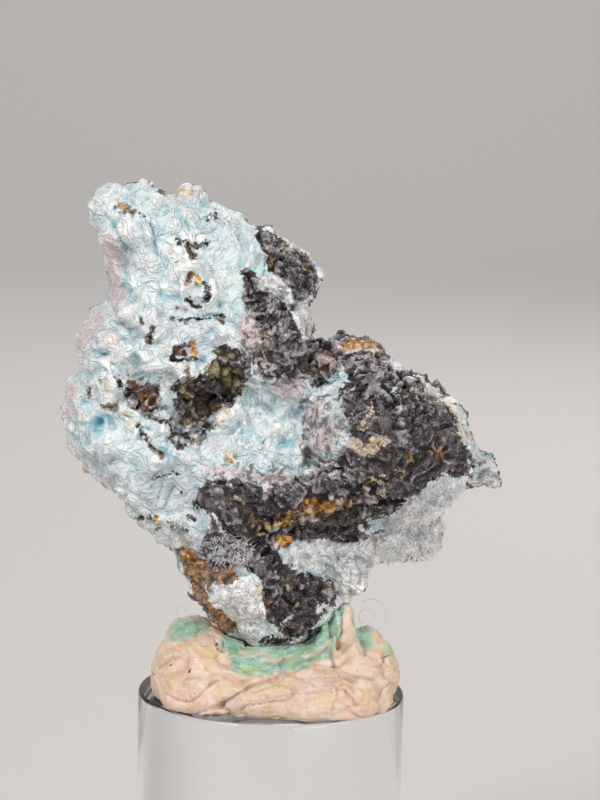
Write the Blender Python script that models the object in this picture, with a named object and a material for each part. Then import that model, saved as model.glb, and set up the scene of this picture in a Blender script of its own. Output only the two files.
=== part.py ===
"""A gibbsite specimen set upright for display.

The stone is one natural piece: a crust of pale blue and white gibbsite, in knobs and folds, that grew over
black manganese oxide. Its foot is pressed into a lump of soft putty on the end of a clear round rod.

Frame: metres, +Z up. The stone's finished face looks along -Y, and the origin is the middle of the rod's
foot. The sizes and places named below are in millimetres.
"""

import math
import random

import bmesh
import bpy
from mathutils import Matrix, Vector, noise
from mathutils.geometry import delaunay_2d_cdt

MM = 0.001

# The rod, which carries everything
ROD_RADIUS = 15.0
ROD_HEIGHT = 40.0
ROD_EDGE = 0.35
ROD_SIDES = 64
ROD_SHARP_ANGLE = 30.0

# Between two solids that touch
TOUCH_GAP = 0.3

# The stone's outline as seen from the front, as (x, z), clockwise from its upper left corner
STONE_OUTLINE = [
    (-21.0, 95.6), (-19.8, 96.9), (-17.5, 96.6), (-15.8, 97.3), (-14.2, 96.6), (-12.3, 96.0), (-11.0, 96.0),
    (-9.8, 96.0), (-8.3, 94.9), (-5.6, 94.6), (-4.4, 94.0), (-3.5, 92.6), (-1.2, 92.9), (0.0, 91.0),
    (2.7, 89.9), (4.0, 88.7), (4.6, 87.0), (4.0, 85.4), (3.0, 84.3), (3.6, 81.8), (3.6, 80.0), (6.3, 80.0),
    (7.5, 80.4), (9.6, 79.8), (11.4, 78.4), (14.0, 77.0), (16.6, 74.6), (18.8, 72.4), (21.0, 69.6),
    (24.4, 66.7), (24.6, 64.4), (21.8, 63.4), (18.6, 60.5), (18.8, 58.2), (17.2, 55.7), (14.5, 55.3),
    (11.1, 54.6), (10.5, 52.7), (8.6, 50.4), (6.2, 47.5), (3.6, 45.2), (-0.5, 44.2), (-3.6, 45.0),
    (-6.8, 47.2), (-8.6, 49.6), (-9.5, 52.0), (-11.3, 55.7), (-14.0, 58.1), (-15.6, 59.5), (-17.4, 61.8),
    (-21.2, 65.0), (-23.2, 67.4), (-23.9, 71.2), (-23.3, 72.6), (-23.8, 74.0), (-22.1, 75.8), (-22.3, 79.4),
    (-21.8, 81.2), (-19.4, 83.9), (-18.8, 85.7), (-19.9, 90.0), (-21.0, 92.4),
]
OUTLINE_STEP = 1.1
FACE_STEP = 1.1
EDGE_MARGIN = 0.5
MERGE_DISTANCE = 1e-5

# How far the front face stands forward of the outline's plane, as (x, z, reach, depth)
FRONT_DEPTHS = {
    "upper plate": (-13.5, 91.0, 5.0, 5.4),
    "upper corner": (-17.0, 93.5, 2.8, 6.4),
    "plate beside the knob": (-5.5, 91.0, 3.5, 5.6),
    "bevel on the left": (-18.6, 87.5, 2.2, 3.2),
    "shoulder": (-13.5, 80.5, 4.5, 8.8),
    "shoulder's left end": (-19.5, 79.0, 3.0, 6.4),
    "blue knobs": (-19.0, 72.0, 3.6, 7.6),
    "cave": (-10.5, 74.2, 3.0, 4.6),
    "cave's right end": (-7.0, 74.6, 2.4, 4.2),
    "middle": (-6.0, 82.5, 3.2, 7.6),
    "black neck": (0.3, 81.5, 3.4, 7.4),
    "basin": (-1.0, 71.0, 3.6, 5.4),
    "lower left slope": (-13.5, 65.0, 4.0, 7.2),
    "lower ridge": (-4.0, 63.0, 3.6, 8.6),
    "leg": (-3.5, 54.0, 4.2, 7.4),
    "leg's left face": (-9.0, 54.5, 2.6, 4.2),
    "foot": (-0.5, 46.5, 3.0, 5.6),
    "fin": (7.0, 55.5, 3.2, 3.4),
    "shelf": (14.0, 58.5, 4.0, 3.8),
    "under the lobe": (13.0, 69.0, 4.0, 6.0),
    "below the lobe": (14.0, 62.6, 2.6, 6.2),
    "tip": (22.5, 66.0, 2.6, 3.2),
    "knob": (2.5, 87.5, 2.6, 5.6),
}

# The same behind, where the broken matrix is rougher and flatter
BACK_DEPTHS = {
    "upper plate": (-13.0, 91.0, 6.0, 4.4),
    "shoulder": (-14.0, 79.0, 6.0, 7.0),
    "middle": (-2.0, 78.0, 6.0, 8.6),
    "lobe": (13.0, 70.0, 6.0, 8.2),
    "lower left": (-14.0, 67.0, 5.0, 5.6),
    "leg": (-1.5, 54.0, 6.0, 7.0),
    "shelf": (15.0, 58.0, 3.5, 4.2),
}
FRONT_ROUNDING = 4.6
BACK_ROUNDING = 6.0
RIM_WANDER = 1.6
RIM_WAVE = 9.0

# Lumps that stand out of the body: the middle, the half lengths along X, Y and Z, and the turn about Y
LUMPS = {
    "black lobe": ((12.2, -4.8, 70.5), (9.4, 8.6, 7.0), 17.0),
    "lobe's right end": ((17.0, -3.4, 67.6), (4.4, 6.6, 4.2), 40.0),
    "lobe's crest": ((9.6, -4.0, 76.2), (6.0, 5.0, 2.6), 20.0),
    "black ridge": ((4.0, -5.4, 64.6), (9.4, 6.6, 2.7), -8.0),
    "ridge's right end": ((13.0, -3.4, 63.2), (6.6, 5.2, 1.9), -14.0),
    "ridge's left end": ((-5.0, -4.0, 62.6), (4.2, 6.6, 3.8), 0.0),
    "leg": ((-2.0, -2.4, 54.0), (5.4, 6.4, 6.6), 8.0),
    "leg's white face": ((-5.2, -3.0, 53.4), (2.8, 6.2, 4.0), -12.0),
    "knob": ((1.6, -2.4, 87.4), (2.2, 4.8, 2.9), -24.0),
    "knob's lower end": ((2.6, -1.4, 85.6), (1.3, 4.0, 1.5), 0.0),
    "upper black ledge": ((-1.8, -2.2, 90.8), (1.8, 4.0, 1.4), 36.0),
    "neck": ((0.6, -4.4, 82.0), (2.8, 5.2, 3.4), 0.0),
    "upper band": ((-1.6, -3.6, 77.4), (4.6, 4.6, 2.4), 22.0),
    "beige knob": ((-9.9, 0.4, 95.5), (1.6, 2.0, 1.3), 0.0),
    "yellow crest": ((8.6, -1.6, 78.9), (2.5, 3.4, 1.2), 6.0),
    "white tip": ((23.6, -0.8, 65.7), (1.5, 2.2, 1.7), 0.0),
    "upper pink knob": ((-19.6, 1.2, 81.6), (1.5, 2.6, 1.7), 0.0),
    "middle pink knob": ((-22.2, 0.6, 74.3), (1.4, 2.2, 1.2), 0.0),
    "lower pink knob": ((-22.9, -0.4, 71.4), (1.5, 2.2, 1.1), 0.0),
    "large blue knob": ((-17.6, -6.2, 76.6), (2.5, 3.2, 2.4), 0.0),
    "left blue knob": ((-20.6, -4.6, 72.9), (2.0, 2.8, 1.8), 0.0),
    "low blue knob": ((-17.6, -5.6, 68.8), (3.2, 2.6, 2.0), 25.0),
    "ring knob": ((-13.2, -5.6, 71.6), (1.7, 2.6, 1.7), 0.0),
    "brown knob": ((-6.8, -5.0, 78.2), (2.2, 2.8, 1.9), 0.0),
    "cave's roof": ((-11.4, -5.6, 78.0), (3.6, 3.0, 1.6), -6.0),
    "cream knob": ((-5.2, -4.4, 72.4), (1.4, 2.6, 1.6), 0.0),
    "oval boss": ((-9.0, -5.2, 86.2), (1.9, 2.8, 2.5), 0.0),
    "shoulder's fold": ((-14.6, -6.8, 83.2), (4.4, 2.8, 1.5), 24.0),
    "second fold": ((-16.0, -7.4, 79.8), (4.6, 2.4, 1.4), 20.0),
    "plate's fold": ((-14.6, -4.0, 88.6), (2.2, 2.6, 4.2), 14.0),
    "corner fold": ((-17.0, -4.4, 92.4), (2.6, 2.6, 1.8), -10.0),
    "slope's fold": ((-12.4, -5.6, 66.6), (4.4, 2.8, 1.7), 30.0),
    "shelf's rim": ((15.6, -1.2, 57.6), (3.4, 4.2, 1.7), 4.0),
    "white step": ((15.6, -3.0, 61.8), (3.8, 4.4, 1.7), -26.0),
    "fin's edge": ((8.4, -1.4, 54.8), (1.6, 3.4, 3.2), -24.0),
}
LUMP_ROUNDNESS = 3

# Lumps of broken matrix scattered over the back
BACK_LUMPS = 34
BACK_LUMP_SIZES = (1.6, 4.2)
BACK_LUMP_MARGIN = 0.4
BACK_SINK = 0.45
BACK_SEED = 7

# How the lumps are made one skin, and its unevenness as (pattern, size, height): swells, then small domes
STONE_VOXEL = 0.48
STONE_SMOOTHING = 3
STONE_RELIEF = [("CLOUDS", 5.5, 1.1), ("VORONOI", 2.6, -1.1)]
STONE_FACES = 7200

# The putty: a kneaded lump, drawn up round the stone's foot
PUTTY_BASE = ROD_HEIGHT + TOUCH_GAP
PUTTY_LUMPS = {
    "main lump": ((1.0, -0.6, 42.0), (13.6, 12.6, 4.6), 0.0),
    "front roll": ((3.4, -8.2, 41.6), (10.4, 5.6, 3.2), 0.0),
    "left mound": ((-8.2, -3.0, 43.0), (5.4, 6.8, 4.6), -14.0),
    "left crest": ((-9.0, 1.2, 45.0), (3.0, 4.6, 2.8), 0.0),
    "left toe": ((-7.6, -8.4, 41.4), (4.6, 3.4, 2.6), 0.0),
    "right mound": ((9.4, -1.6, 42.8), (5.0, 7.0, 4.2), 8.0),
    "right horn": ((7.6, -1.6, 46.8), (1.5, 2.6, 4.6), -4.0),
    "horn's foot": ((7.0, -3.0, 45.2), (3.0, 3.2, 3.4), 0.0),
    "right crest": ((11.0, 0.6, 45.0), (1.8, 3.0, 2.6), -20.0),
    "back wall": ((0.6, 6.4, 44.0), (8.6, 4.2, 3.6), 0.0),
}
PUTTY_VOXEL = 0.5
PUTTY_SMOOTHING = 5
PUTTY_RELIEF = [("CLOUDS", 5.0, 1.0), ("CLOUDS", 2.2, 0.5)]
PUTTY_FACES = 2000
SOCKET_SWELL = 0.4
SOCKET_VOXEL = 0.5
SOCKET_SHARE = 0.2

# The block that cuts the putty's underside flat
BLOCK_WIDTH = 60.0
BLOCK_DEPTH = 10.0

# Less than any real distance, and the least weight that a named depth has far from its place
TINY = 1e-6
LEAST_WEIGHT = 1e-9

# Finishes: the colours are linear, and dry crust and kneaded putty are dull where the rod is polished
CRUST_COLOUR = (0.62, 0.70, 0.72)
CRUST_ROUGHNESS = 0.6
PUTTY_COLOUR = (0.82, 0.66, 0.55)
PUTTY_ROUGHNESS = 0.55
ROD_COLOUR = (0.96, 0.97, 0.97)
ROD_ROUGHNESS = 0.03


def clear_scene():
    for obj in list(bpy.data.objects):
        bpy.data.objects.remove(obj, do_unlink=True)


def material(name, colour, roughness, transmission=0.0):
    made = bpy.data.materials.new(name)
    made.use_nodes = True
    shader = made.node_tree.nodes["Principled BSDF"]
    shader.inputs["Base Color"].default_value = (*colour, 1.0)
    shader.inputs["Roughness"].default_value = roughness
    shader.inputs["Metallic"].default_value = 0.0
    shader.inputs["Transmission Weight"].default_value = transmission
    made.diffuse_color = (*colour, 1.0)
    return made


def add_object(name, bm, finish):
    """Links the bmesh, which is in millimetres, as an object in metres."""
    bm.transform(Matrix.Scale(MM, 4))
    mesh = bpy.data.meshes.new(name)
    bm.to_mesh(mesh)
    bm.free()
    obj = bpy.data.objects.new(name, mesh)
    bpy.context.scene.collection.objects.link(obj)
    mesh.materials.append(finish)
    return obj


def closed_loop(corners, step):
    """Points every step or so along the straight sides of a closed outline."""
    points = []
    for start, end in zip(corners, corners[1:] + corners[:1]):
        side = Vector(end) - Vector(start)
        count = max(1, round(side.length / step))
        points += [Vector(start) + side * (i / count) for i in range(count)]
    return points


def edge_distance(point, loop):
    """How far inside the outline a point lies, negative outside it."""
    nearest = math.inf
    inside = False
    for a, b in zip(loop, loop[1:] + loop[:1]):
        side = b - a
        along = max(0.0, min(1.0, (point - a).dot(side) / side.length_squared))
        nearest = min(nearest, (point - a - side * along).length)
        if (a.y > point.y) != (b.y > point.y):
            if point.x < a.x + (point.y - a.y) * side.x / side.y:
                inside = not inside
    return nearest if inside else -nearest


def mean_depth(depths, x, z):
    """The named depths blended by nearness."""
    total = 0.0
    weights = 0.0
    for cx, cz, reach, depth in depths.values():
        weight = math.exp(-((x - cx) ** 2 + (z - cz) ** 2) / (2 * reach * reach)) + LEAST_WEIGHT
        total += weight * depth
        weights += weight
    return total / weights


def rounded(distance, rounding):
    """The share of its full depth that a face has this far in from its edge: a quarter of an ellipse."""
    short = 1.0 - min(1.0, max(0.0, distance) / rounding)
    return math.sqrt(1.0 - short * short)


def add_body(bm):
    """The body: two faces with their own depths, which meet along the outline."""
    rim = closed_loop(STONE_OUTLINE, OUTLINE_STEP)
    corners = [Vector(c) for c in STONE_OUTLINE]
    low_x, high_x = min(p.x for p in rim), max(p.x for p in rim)
    low_z, high_z = min(p.y for p in rim), max(p.y for p in rim)
    inner = []
    row_height = FACE_STEP * math.sqrt(3) / 2
    for row in range(int((high_z - low_z) / row_height) + 1):
        shift = FACE_STEP / 2 * (row % 2)
        for column in range(int((high_x - low_x) / FACE_STEP) + 1):
            point = Vector((low_x + shift + column * FACE_STEP, low_z + row * row_height))
            if edge_distance(point, corners) > EDGE_MARGIN:
                inner.append(point)
    loop = list(range(len(rim)))
    flat, _, faces, *_ = delaunay_2d_cdt(rim + inner, [], [loop], 1, MERGE_DISTANCE)
    front = []
    back = []
    for point in flat:
        distance = edge_distance(point, corners)
        middle = RIM_WANDER * noise.noise(Vector((point.x / RIM_WAVE, 0.0, point.y / RIM_WAVE)))
        forward = mean_depth(FRONT_DEPTHS, *point) * rounded(distance, FRONT_ROUNDING)
        behind = mean_depth(BACK_DEPTHS, *point) * rounded(distance, BACK_ROUNDING)
        on_rim = distance < EDGE_MARGIN / 2
        front.append(bm.verts.new((point.x, middle if on_rim else middle - forward, point.y)))
        back.append(front[-1] if on_rim else bm.verts.new((point.x, middle + behind, point.y)))
    for a, b, c in faces:
        bm.faces.new((front[a], front[b], front[c]))
        if {back[a], back[b], back[c]} != {front[a], front[b], front[c]}:
            bm.faces.new((back[c], back[b], back[a]))


def add_lump(bm, centre, radii, turn):
    place = Matrix.Translation(centre) @ Matrix.Rotation(math.radians(turn), 4, "Y")
    size = Matrix.Diagonal((*radii, 1.0))
    bmesh.ops.create_icosphere(bm, subdivisions=LUMP_ROUNDNESS, radius=1.0, matrix=place @ size)


def add_back_lumps(bm):
    """Broken lumps over the back, each sunk into the surface where it stands."""
    corners = [Vector(c) for c in STONE_OUTLINE]
    low = Vector((min(c.x for c in corners), min(c.y for c in corners)))
    high = Vector((max(c.x for c in corners), max(c.y for c in corners)))
    choose = random.Random(BACK_SEED)
    made = 0
    while made < BACK_LUMPS:
        point = Vector((choose.uniform(low.x, high.x), choose.uniform(low.y, high.y)))
        distance = edge_distance(point, corners)
        radii = Vector([choose.uniform(*BACK_LUMP_SIZES) for _ in range(3)])
        turn = choose.uniform(-90, 90)
        if distance < max(radii.x, radii.z) + BACK_LUMP_MARGIN:
            continue
        surface = mean_depth(BACK_DEPTHS, *point) * rounded(distance, BACK_ROUNDING)
        add_lump(bm, (point.x, surface - radii.y * BACK_SINK, point.y), radii, turn)
        made += 1


def one_skin(obj, voxel, smoothing, relief, faces):
    """Joins the object's lumps into one rough skin of about this many triangles."""
    join = obj.modifiers.new("Join lumps", "REMESH")
    join.mode = "VOXEL"
    join.voxel_size = voxel * MM
    soften = obj.modifiers.new("Soften creases", "SMOOTH")
    soften.factor = 0.5
    soften.iterations = smoothing
    for pattern, size, height in relief:
        texture = bpy.data.textures.new(f"{obj.name} {size} mm", pattern)
        texture.noise_scale = size * MM
        roughen = obj.modifiers.new(f"Relief {size} mm", "DISPLACE")
        roughen.texture = texture
        roughen.texture_coords = "LOCAL"
        roughen.strength = height * MM
        roughen.mid_level = 0.5
    bpy.context.view_layer.update()
    skin = obj.evaluated_get(bpy.context.evaluated_depsgraph_get()).data
    triangles = sum(len(face.vertices) - 2 for face in skin.polygons)
    thin = obj.modifiers.new("Fewer faces", "DECIMATE")
    thin.ratio = faces / triangles


def applied(obj):
    """Replaces the object's mesh by what its modifiers make of it."""
    bpy.context.view_layer.update()
    graph = bpy.context.evaluated_depsgraph_get()
    mesh = bpy.data.meshes.new_from_object(obj.evaluated_get(graph), depsgraph=graph)
    obj.modifiers.clear()
    obj.data = mesh


def make_stone(finish):
    bm = bmesh.new()
    add_body(bm)
    for centre, radii, turn in LUMPS.values():
        add_lump(bm, centre, radii, turn)
    add_back_lumps(bm)
    stone = add_object("gibbsite_stone", bm, finish)
    one_skin(stone, STONE_VOXEL, STONE_SMOOTHING, STONE_RELIEF, STONE_FACES)
    applied(stone)
    return stone


def socket_cutter(stone):
    """The stone swollen a little all over, which leaves its own hollow in the putty."""
    cutter = stone.copy()
    cutter.name = "socket_cutter"
    cutter.data = stone.data.copy()
    bpy.context.scene.collection.objects.link(cutter)
    swell = cutter.modifiers.new("Swell", "DISPLACE")
    swell.strength = SOCKET_SWELL * MM
    swell.mid_level = 0.0
    join = cutter.modifiers.new("Clear folds", "REMESH")
    join.mode = "VOXEL"
    join.voxel_size = SOCKET_VOXEL * MM
    thin = cutter.modifiers.new("Fewer faces", "DECIMATE")
    thin.ratio = SOCKET_SHARE
    cutter.hide_render = True
    cutter.display_type = "WIRE"
    return cutter


def floor_cutter(finish):
    """A block under the putty, whose top is the plane of the putty's flat underside."""
    bm = bmesh.new()
    place = Matrix.Translation((0.0, 0.0, PUTTY_BASE - BLOCK_DEPTH / 2))
    size = Matrix.Diagonal((BLOCK_WIDTH, BLOCK_WIDTH, BLOCK_DEPTH, 1.0))
    bmesh.ops.create_cube(bm, size=1.0, matrix=place @ size)
    cutter = add_object("floor_cutter", bm, finish)
    cutter.hide_render = True
    cutter.display_type = "WIRE"
    return cutter


def make_putty(stone, finish):
    bm = bmesh.new()
    for centre, radii, turn in PUTTY_LUMPS.values():
        add_lump(bm, centre, radii, turn)
    putty = add_object("mounting_putty", bm, finish)
    one_skin(putty, PUTTY_VOXEL, PUTTY_SMOOTHING, PUTTY_RELIEF, PUTTY_FACES)
    applied(putty)
    for name, cutter in (("Flat underside", floor_cutter(finish)), ("Socket", socket_cutter(stone))):
        cut = putty.modifiers.new(name, "BOOLEAN")
        cut.operation = "DIFFERENCE"
        cut.solver = "EXACT"
        cut.object = cutter


def make_rod(finish):
    bm = bmesh.new()
    place = Matrix.Translation((0.0, 0.0, ROD_HEIGHT / 2))
    bmesh.ops.create_cone(
        bm,
        cap_ends=True,
        segments=ROD_SIDES,
        radius1=ROD_RADIUS,
        radius2=ROD_RADIUS,
        depth=ROD_HEIGHT,
        matrix=place,
    )
    rims = [edge for edge in bm.edges if abs(edge.verts[0].co.z - edge.verts[1].co.z) < TINY]
    bmesh.ops.bevel(bm, geom=rims, offset=ROD_EDGE, segments=1, affect="EDGES")
    rod = add_object("clear_rod", bm, finish)
    rod.data.shade_smooth()
    rod.data.set_sharp_from_angle(angle=math.radians(ROD_SHARP_ANGLE))


def main():
    clear_scene()
    stone_finish = material("gibbsite and matrix", CRUST_COLOUR, CRUST_ROUGHNESS)
    putty_finish = material("putty", PUTTY_COLOUR, PUTTY_ROUGHNESS)
    rod_finish = material("clear plastic", ROD_COLOUR, ROD_ROUGHNESS, transmission=1.0)
    make_rod(rod_finish)
    stone = make_stone(stone_finish)
    make_putty(stone, putty_finish)


main()
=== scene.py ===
"""The look of a gibbsite specimen that stands in soft putty on a clear rod.

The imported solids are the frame. The stone and the putty are made again as fine skins over their own solids,
with the small relief that the solids leave out. Shader nodes colour them from fields kept in the mesh.
Everything here is worked out in millimetres and turned into metres when a mesh is made.
"""

import itertools
import math

import bpy
import numpy as np
from mathutils import Matrix


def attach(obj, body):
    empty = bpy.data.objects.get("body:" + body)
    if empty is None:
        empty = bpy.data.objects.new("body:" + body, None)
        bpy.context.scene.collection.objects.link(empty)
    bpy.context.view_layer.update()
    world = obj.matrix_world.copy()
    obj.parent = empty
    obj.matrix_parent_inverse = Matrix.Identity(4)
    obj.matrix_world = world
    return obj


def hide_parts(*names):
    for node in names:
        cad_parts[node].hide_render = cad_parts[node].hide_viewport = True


MM = 0.001

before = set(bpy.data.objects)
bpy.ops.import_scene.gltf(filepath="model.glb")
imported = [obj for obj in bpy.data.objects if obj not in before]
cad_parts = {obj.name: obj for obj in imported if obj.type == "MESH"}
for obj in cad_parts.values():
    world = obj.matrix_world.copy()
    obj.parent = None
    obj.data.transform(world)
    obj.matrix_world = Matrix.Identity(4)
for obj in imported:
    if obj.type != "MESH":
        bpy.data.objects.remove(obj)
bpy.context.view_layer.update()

# The camera: a long lens in front of the rod's axis, a little above the stone and looking down at it
PICTURE_MIDDLE = (300, 400)
PICTURE_HEIGHT = 800
FOCAL_LENGTH = 2860.0
SENSOR = 36.0
CAMERA_AT = np.array([2.54, -314.04, 125.80])
PITCH = math.radians(9.5)
ROLL = math.radians(1.3)
ACROSS = np.array([1.0, 0.0, 0.0])
UPRIGHT = np.array([0.0, math.sin(PITCH), math.cos(PITCH)])
FORWARD = np.array([0.0, math.cos(PITCH), -math.sin(PITCH)])
RIGHT = math.cos(ROLL) * ACROSS + math.sin(ROLL) * UPRIGHT
UP = math.cos(ROLL) * UPRIGHT - math.sin(ROLL) * ACROSS


def picture(points):
    """Where points in mm appear in the picture, in pixels from its upper left corner."""
    ray = points - CAMERA_AT
    depth = ray @ FORWARD
    x = PICTURE_MIDDLE[0] + FOCAL_LENGTH * (ray @ RIGHT) / depth
    y = PICTURE_MIDDLE[1] - FOCAL_LENGTH * (ray @ UP) / depth
    return np.asfortranarray(np.column_stack([x, y]))


def point_at(x, y, depth):
    """The point in mm at this place in the picture whose Y is the depth."""
    ray = FORWARD + ((x - PICTURE_MIDDLE[0]) * RIGHT - (y - PICTURE_MIDDLE[1]) * UP) / FOCAL_LENGTH
    return CAMERA_AT + ray * (depth - CAMERA_AT[1]) / ray[1]


# Noise

SEED_STEP = 0.37
NOISE_GAIN = 1.9


def scrambled(cells, seed):
    """A repeatable 32 bit number for each lattice cell."""
    i, j, k = (cells[:, axis].astype(np.uint32) for axis in range(3))
    n = i * np.uint32(73856093) ^ j * np.uint32(19349663) ^ k * np.uint32(83492791)
    n ^= np.uint32(seed * 2654435761 & 0xFFFFFFFF)
    n = (n ^ (n >> np.uint32(15))) * np.uint32(2246822519)
    n = (n ^ (n >> np.uint32(13))) * np.uint32(3266489917)
    return n ^ (n >> np.uint32(16))


def thirds(numbers):
    """Each 32 bit number split into three numbers from 0 to 1."""
    parts = [(numbers >> np.uint32(shift)) & np.uint32(1023) for shift in (0, 10, 20)]
    return [part.astype(np.float32) / 1023 for part in parts]


def wavy(points, size, seed=0):
    """Smooth noise, mostly within -1 to 1, with waves of about this size in mm."""
    place = points / size + SEED_STEP * seed
    cell = np.floor(place).astype(np.int64)
    inside = (place - cell).astype(np.float32)
    ease = inside**3 * (inside * (inside * 6 - 15) + 10)
    total = np.zeros(len(points), np.float32)
    for corner in itertools.product((0, 1), repeat=3):
        slopes = thirds(scrambled(cell + np.array(corner), seed))
        weight = np.float32(1.0)
        rise = np.float32(0.0)
        for axis in range(3):
            weight = weight * (ease[:, axis] if corner[axis] else 1 - ease[:, axis])
            rise = rise + (2 * slopes[axis] - 1) * (inside[:, axis] - corner[axis])
        total += weight * rise
    return total * NOISE_GAIN


def wandering(points, size, amount, seed=0):
    """The points pushed about by smooth noise, to bend what is drawn with them."""
    push = np.column_stack([wavy(points, size, seed + axis) for axis in range(3)])
    return points + amount * push


def scattered(points, size, seed=0):
    """Cells round points strewn one to a cube of this size.

    Gives the distance to the nearest of them and how much farther the next one is, both over the size, then a
    number from 0 to 1 for the nearest one, and a plane tilted its own way in its cell.
    """
    place = points / size
    cell = np.floor(place).astype(np.int64)
    inside = (place - cell).astype(np.float32)
    first = np.full(len(points), 9.0, np.float32)
    second = np.full(len(points), 9.0, np.float32)
    mark = np.zeros(len(points), np.float32)
    plane = np.zeros(len(points), np.float32)
    for step in itertools.product((-1, 0, 1), repeat=3):
        strewn = thirds(scrambled(cell + np.array(step), seed))
        away = [inside[:, axis] - step[axis] - strewn[axis] for axis in range(3)]
        distance = np.sqrt(away[0] ** 2 + away[1] ** 2 + away[2] ** 2)
        nearer = distance < first
        second = np.where(nearer, first, np.minimum(second, distance))
        mark = np.where(nearer, (strewn[0] * 7 + strewn[1] * 5) % 1, mark)
        tilt = sum(a * (2 * (13 * t % 1) - 1) for a, t in zip(away, strewn))
        plane = np.where(nearer, tilt, plane)
        first = np.where(nearer, distance, first)
    return first, second - first, mark, plane


def step_up(value, low, high):
    """0 below low, 1 above high, and smooth between them."""
    share = np.clip((value - low) / (high - low), 0.0, 1.0)
    return share * share * (3 - 2 * share)


# Skins: closed meshes as arrays

# How much the spare weights count against the shape when a skin is thinned
SPARE_PULL = 6e-6
SPARE_LEVELS = 10


def linked(name, data):
    """A new object in the scene that shows this mesh, light or camera."""
    obj = bpy.data.objects.new(name, data)
    bpy.context.scene.collection.objects.link(obj)
    return obj


def modified(obj):
    """A new mesh of the object with its modifiers at work."""
    bpy.context.view_layer.update()
    graph = bpy.context.evaluated_depsgraph_get()
    return bpy.data.meshes.new_from_object(obj.evaluated_get(graph), depsgraph=graph)


def fine_skin(node, voxel):
    """The node's solid as an even mesh: its points in mm, its edges and its triangles."""
    copy = linked("copy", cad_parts[node].data.copy())
    even = copy.modifiers.new("Even", "REMESH")
    even.mode = "VOXEL"
    even.voxel_size = voxel * MM
    mesh = modified(copy)
    bpy.data.objects.remove(copy)
    return arrays(mesh)


def arrays(mesh):
    """A mesh's points in mm, its edges and its triangles."""
    points = np.empty(len(mesh.vertices) * 3, np.float32)
    mesh.vertices.foreach_get("co", points)
    edges = np.empty(len(mesh.edges) * 2, np.int32)
    mesh.edges.foreach_get("vertices", edges)
    mesh.calc_loop_triangles()
    triangles = np.empty(len(mesh.loop_triangles) * 3, np.int32)
    mesh.loop_triangles.foreach_get("vertices", triangles)
    return points.reshape(-1, 3).astype(float) / MM, edges.reshape(-1, 2), triangles.reshape(-1, 3)


def relaxed(values, edges, times, share=0.5):
    """The values evened out over the mesh, each towards the mean of its neighbours."""
    flat = values.ndim == 1
    values = values.reshape(len(values), -1)
    size = len(values)
    near, far = edges.T
    count = np.bincount(near, minlength=size) + np.bincount(far, minlength=size)
    for _ in range(times):
        total = [np.bincount(near, column[far], size) + np.bincount(far, column[near], size)
                 for column in values.T]
        values = values + share * (np.column_stack(total) / count[:, None] - values)
    return values[:, 0] if flat else values


def normals(points, triangles):
    """The direction square to the skin at each point."""
    a, b, c = (points[triangles[:, i]] for i in range(3))
    face = np.cross(b - a, c - a)
    total = np.zeros_like(points)
    for corner in triangles.T:
        for axis in range(3):
            total[:, axis] += np.bincount(corner, face[:, axis], len(points))
    return total / (np.linalg.norm(total, axis=1, keepdims=True) + 1e-12)


def skin_object(name, points, triangles, fields):
    """A smooth shaded object of the skin, still in mm, with each field kept on its points."""
    mesh = bpy.data.meshes.new(name)
    mesh.vertices.add(len(points))
    mesh.vertices.foreach_set("co", points.astype(np.float32).ravel())
    mesh.loops.add(len(triangles) * 3)
    mesh.loops.foreach_set("vertex_index", triangles.astype(np.int32).ravel())
    mesh.polygons.add(len(triangles))
    mesh.polygons.foreach_set("loop_start", np.arange(0, len(triangles) * 3, 3, dtype=np.int32))
    mesh.update(calc_edges=True)
    mesh.validate()
    for field, values in fields.items():
        mesh.attributes.new(field, "FLOAT", "POINT").data.foreach_set("value", values.astype(np.float32))
    return linked(name, mesh)


def thinned(name, points, triangles, fields, faces, spare=None):
    """The skin in metres with about this many triangles, fewest where it is flat or spare is high."""
    obj = skin_object(name, points, triangles, fields)
    fewer = obj.modifiers.new("Fewer", "DECIMATE")
    fewer.ratio = min(1.0, faces / len(triangles))
    if spare is not None:
        group = obj.vertex_groups.new(name="Spare")
        for level in range(SPARE_LEVELS + 1):
            members = np.flatnonzero(np.round(spare * SPARE_LEVELS) == level)
            group.add(members.tolist(), level / SPARE_LEVELS, "REPLACE")
        fewer.vertex_group = group.name
        fewer.vertex_group_factor = SPARE_PULL
    mesh = modified(obj)
    obj.modifiers.clear()
    obj.vertex_groups.clear()
    obj.data = mesh
    mesh.transform(Matrix.Scale(MM, 4))
    mesh.name = name
    mesh.shade_smooth()
    return obj


# Fields drawn over the picture: lines and outlined areas, in pixels


def line_distance(at, line):
    """How far each place is from the line, in pixels."""
    line = np.array(line, float)
    if len(line) == 1:
        return np.linalg.norm(at - line[0], axis=1)
    nearest = np.full(len(at), 1e9)
    for a, b in zip(line, line[1:]):
        side = b - a
        along = np.clip(((at - a) @ side) / (side @ side), 0.0, 1.0)
        nearest = np.minimum(nearest, np.linalg.norm(at - a - along[:, None] * side, axis=1))
    return nearest


def area_depth(at, outline):
    """How far inside the outlined area each place is, in pixels, negative outside it."""
    outline = np.array(outline, float)
    inside = np.zeros(len(at), bool)
    for a, b in zip(outline, np.roll(outline, -1, axis=0)):
        if a[1] == b[1]:
            continue
        crosses = (a[1] > at[:, 1]) != (b[1] > at[:, 1])
        beyond = at[:, 0] < a[0] + (at[:, 1] - a[1]) * (b[0] - a[0]) / (b[1] - a[1])
        inside ^= crosses & beyond
    edge = line_distance(at, [*outline, outline[0]])
    return np.where(inside, edge, -edge)


def near_box(at, line, margin):
    """Which places are in the line's box, grown by the margin."""
    line = np.array(line, float)
    low, high = line.min(axis=0) - margin, line.max(axis=0) + margin
    x, y = at.T
    return np.flatnonzero((x > low[0]) & (x < high[0]) & (y > low[1]) & (y < high[1]))


# How far a field rises or falls to either side of an edge, in pixels
AREA_EDGE = 5.0


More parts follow.
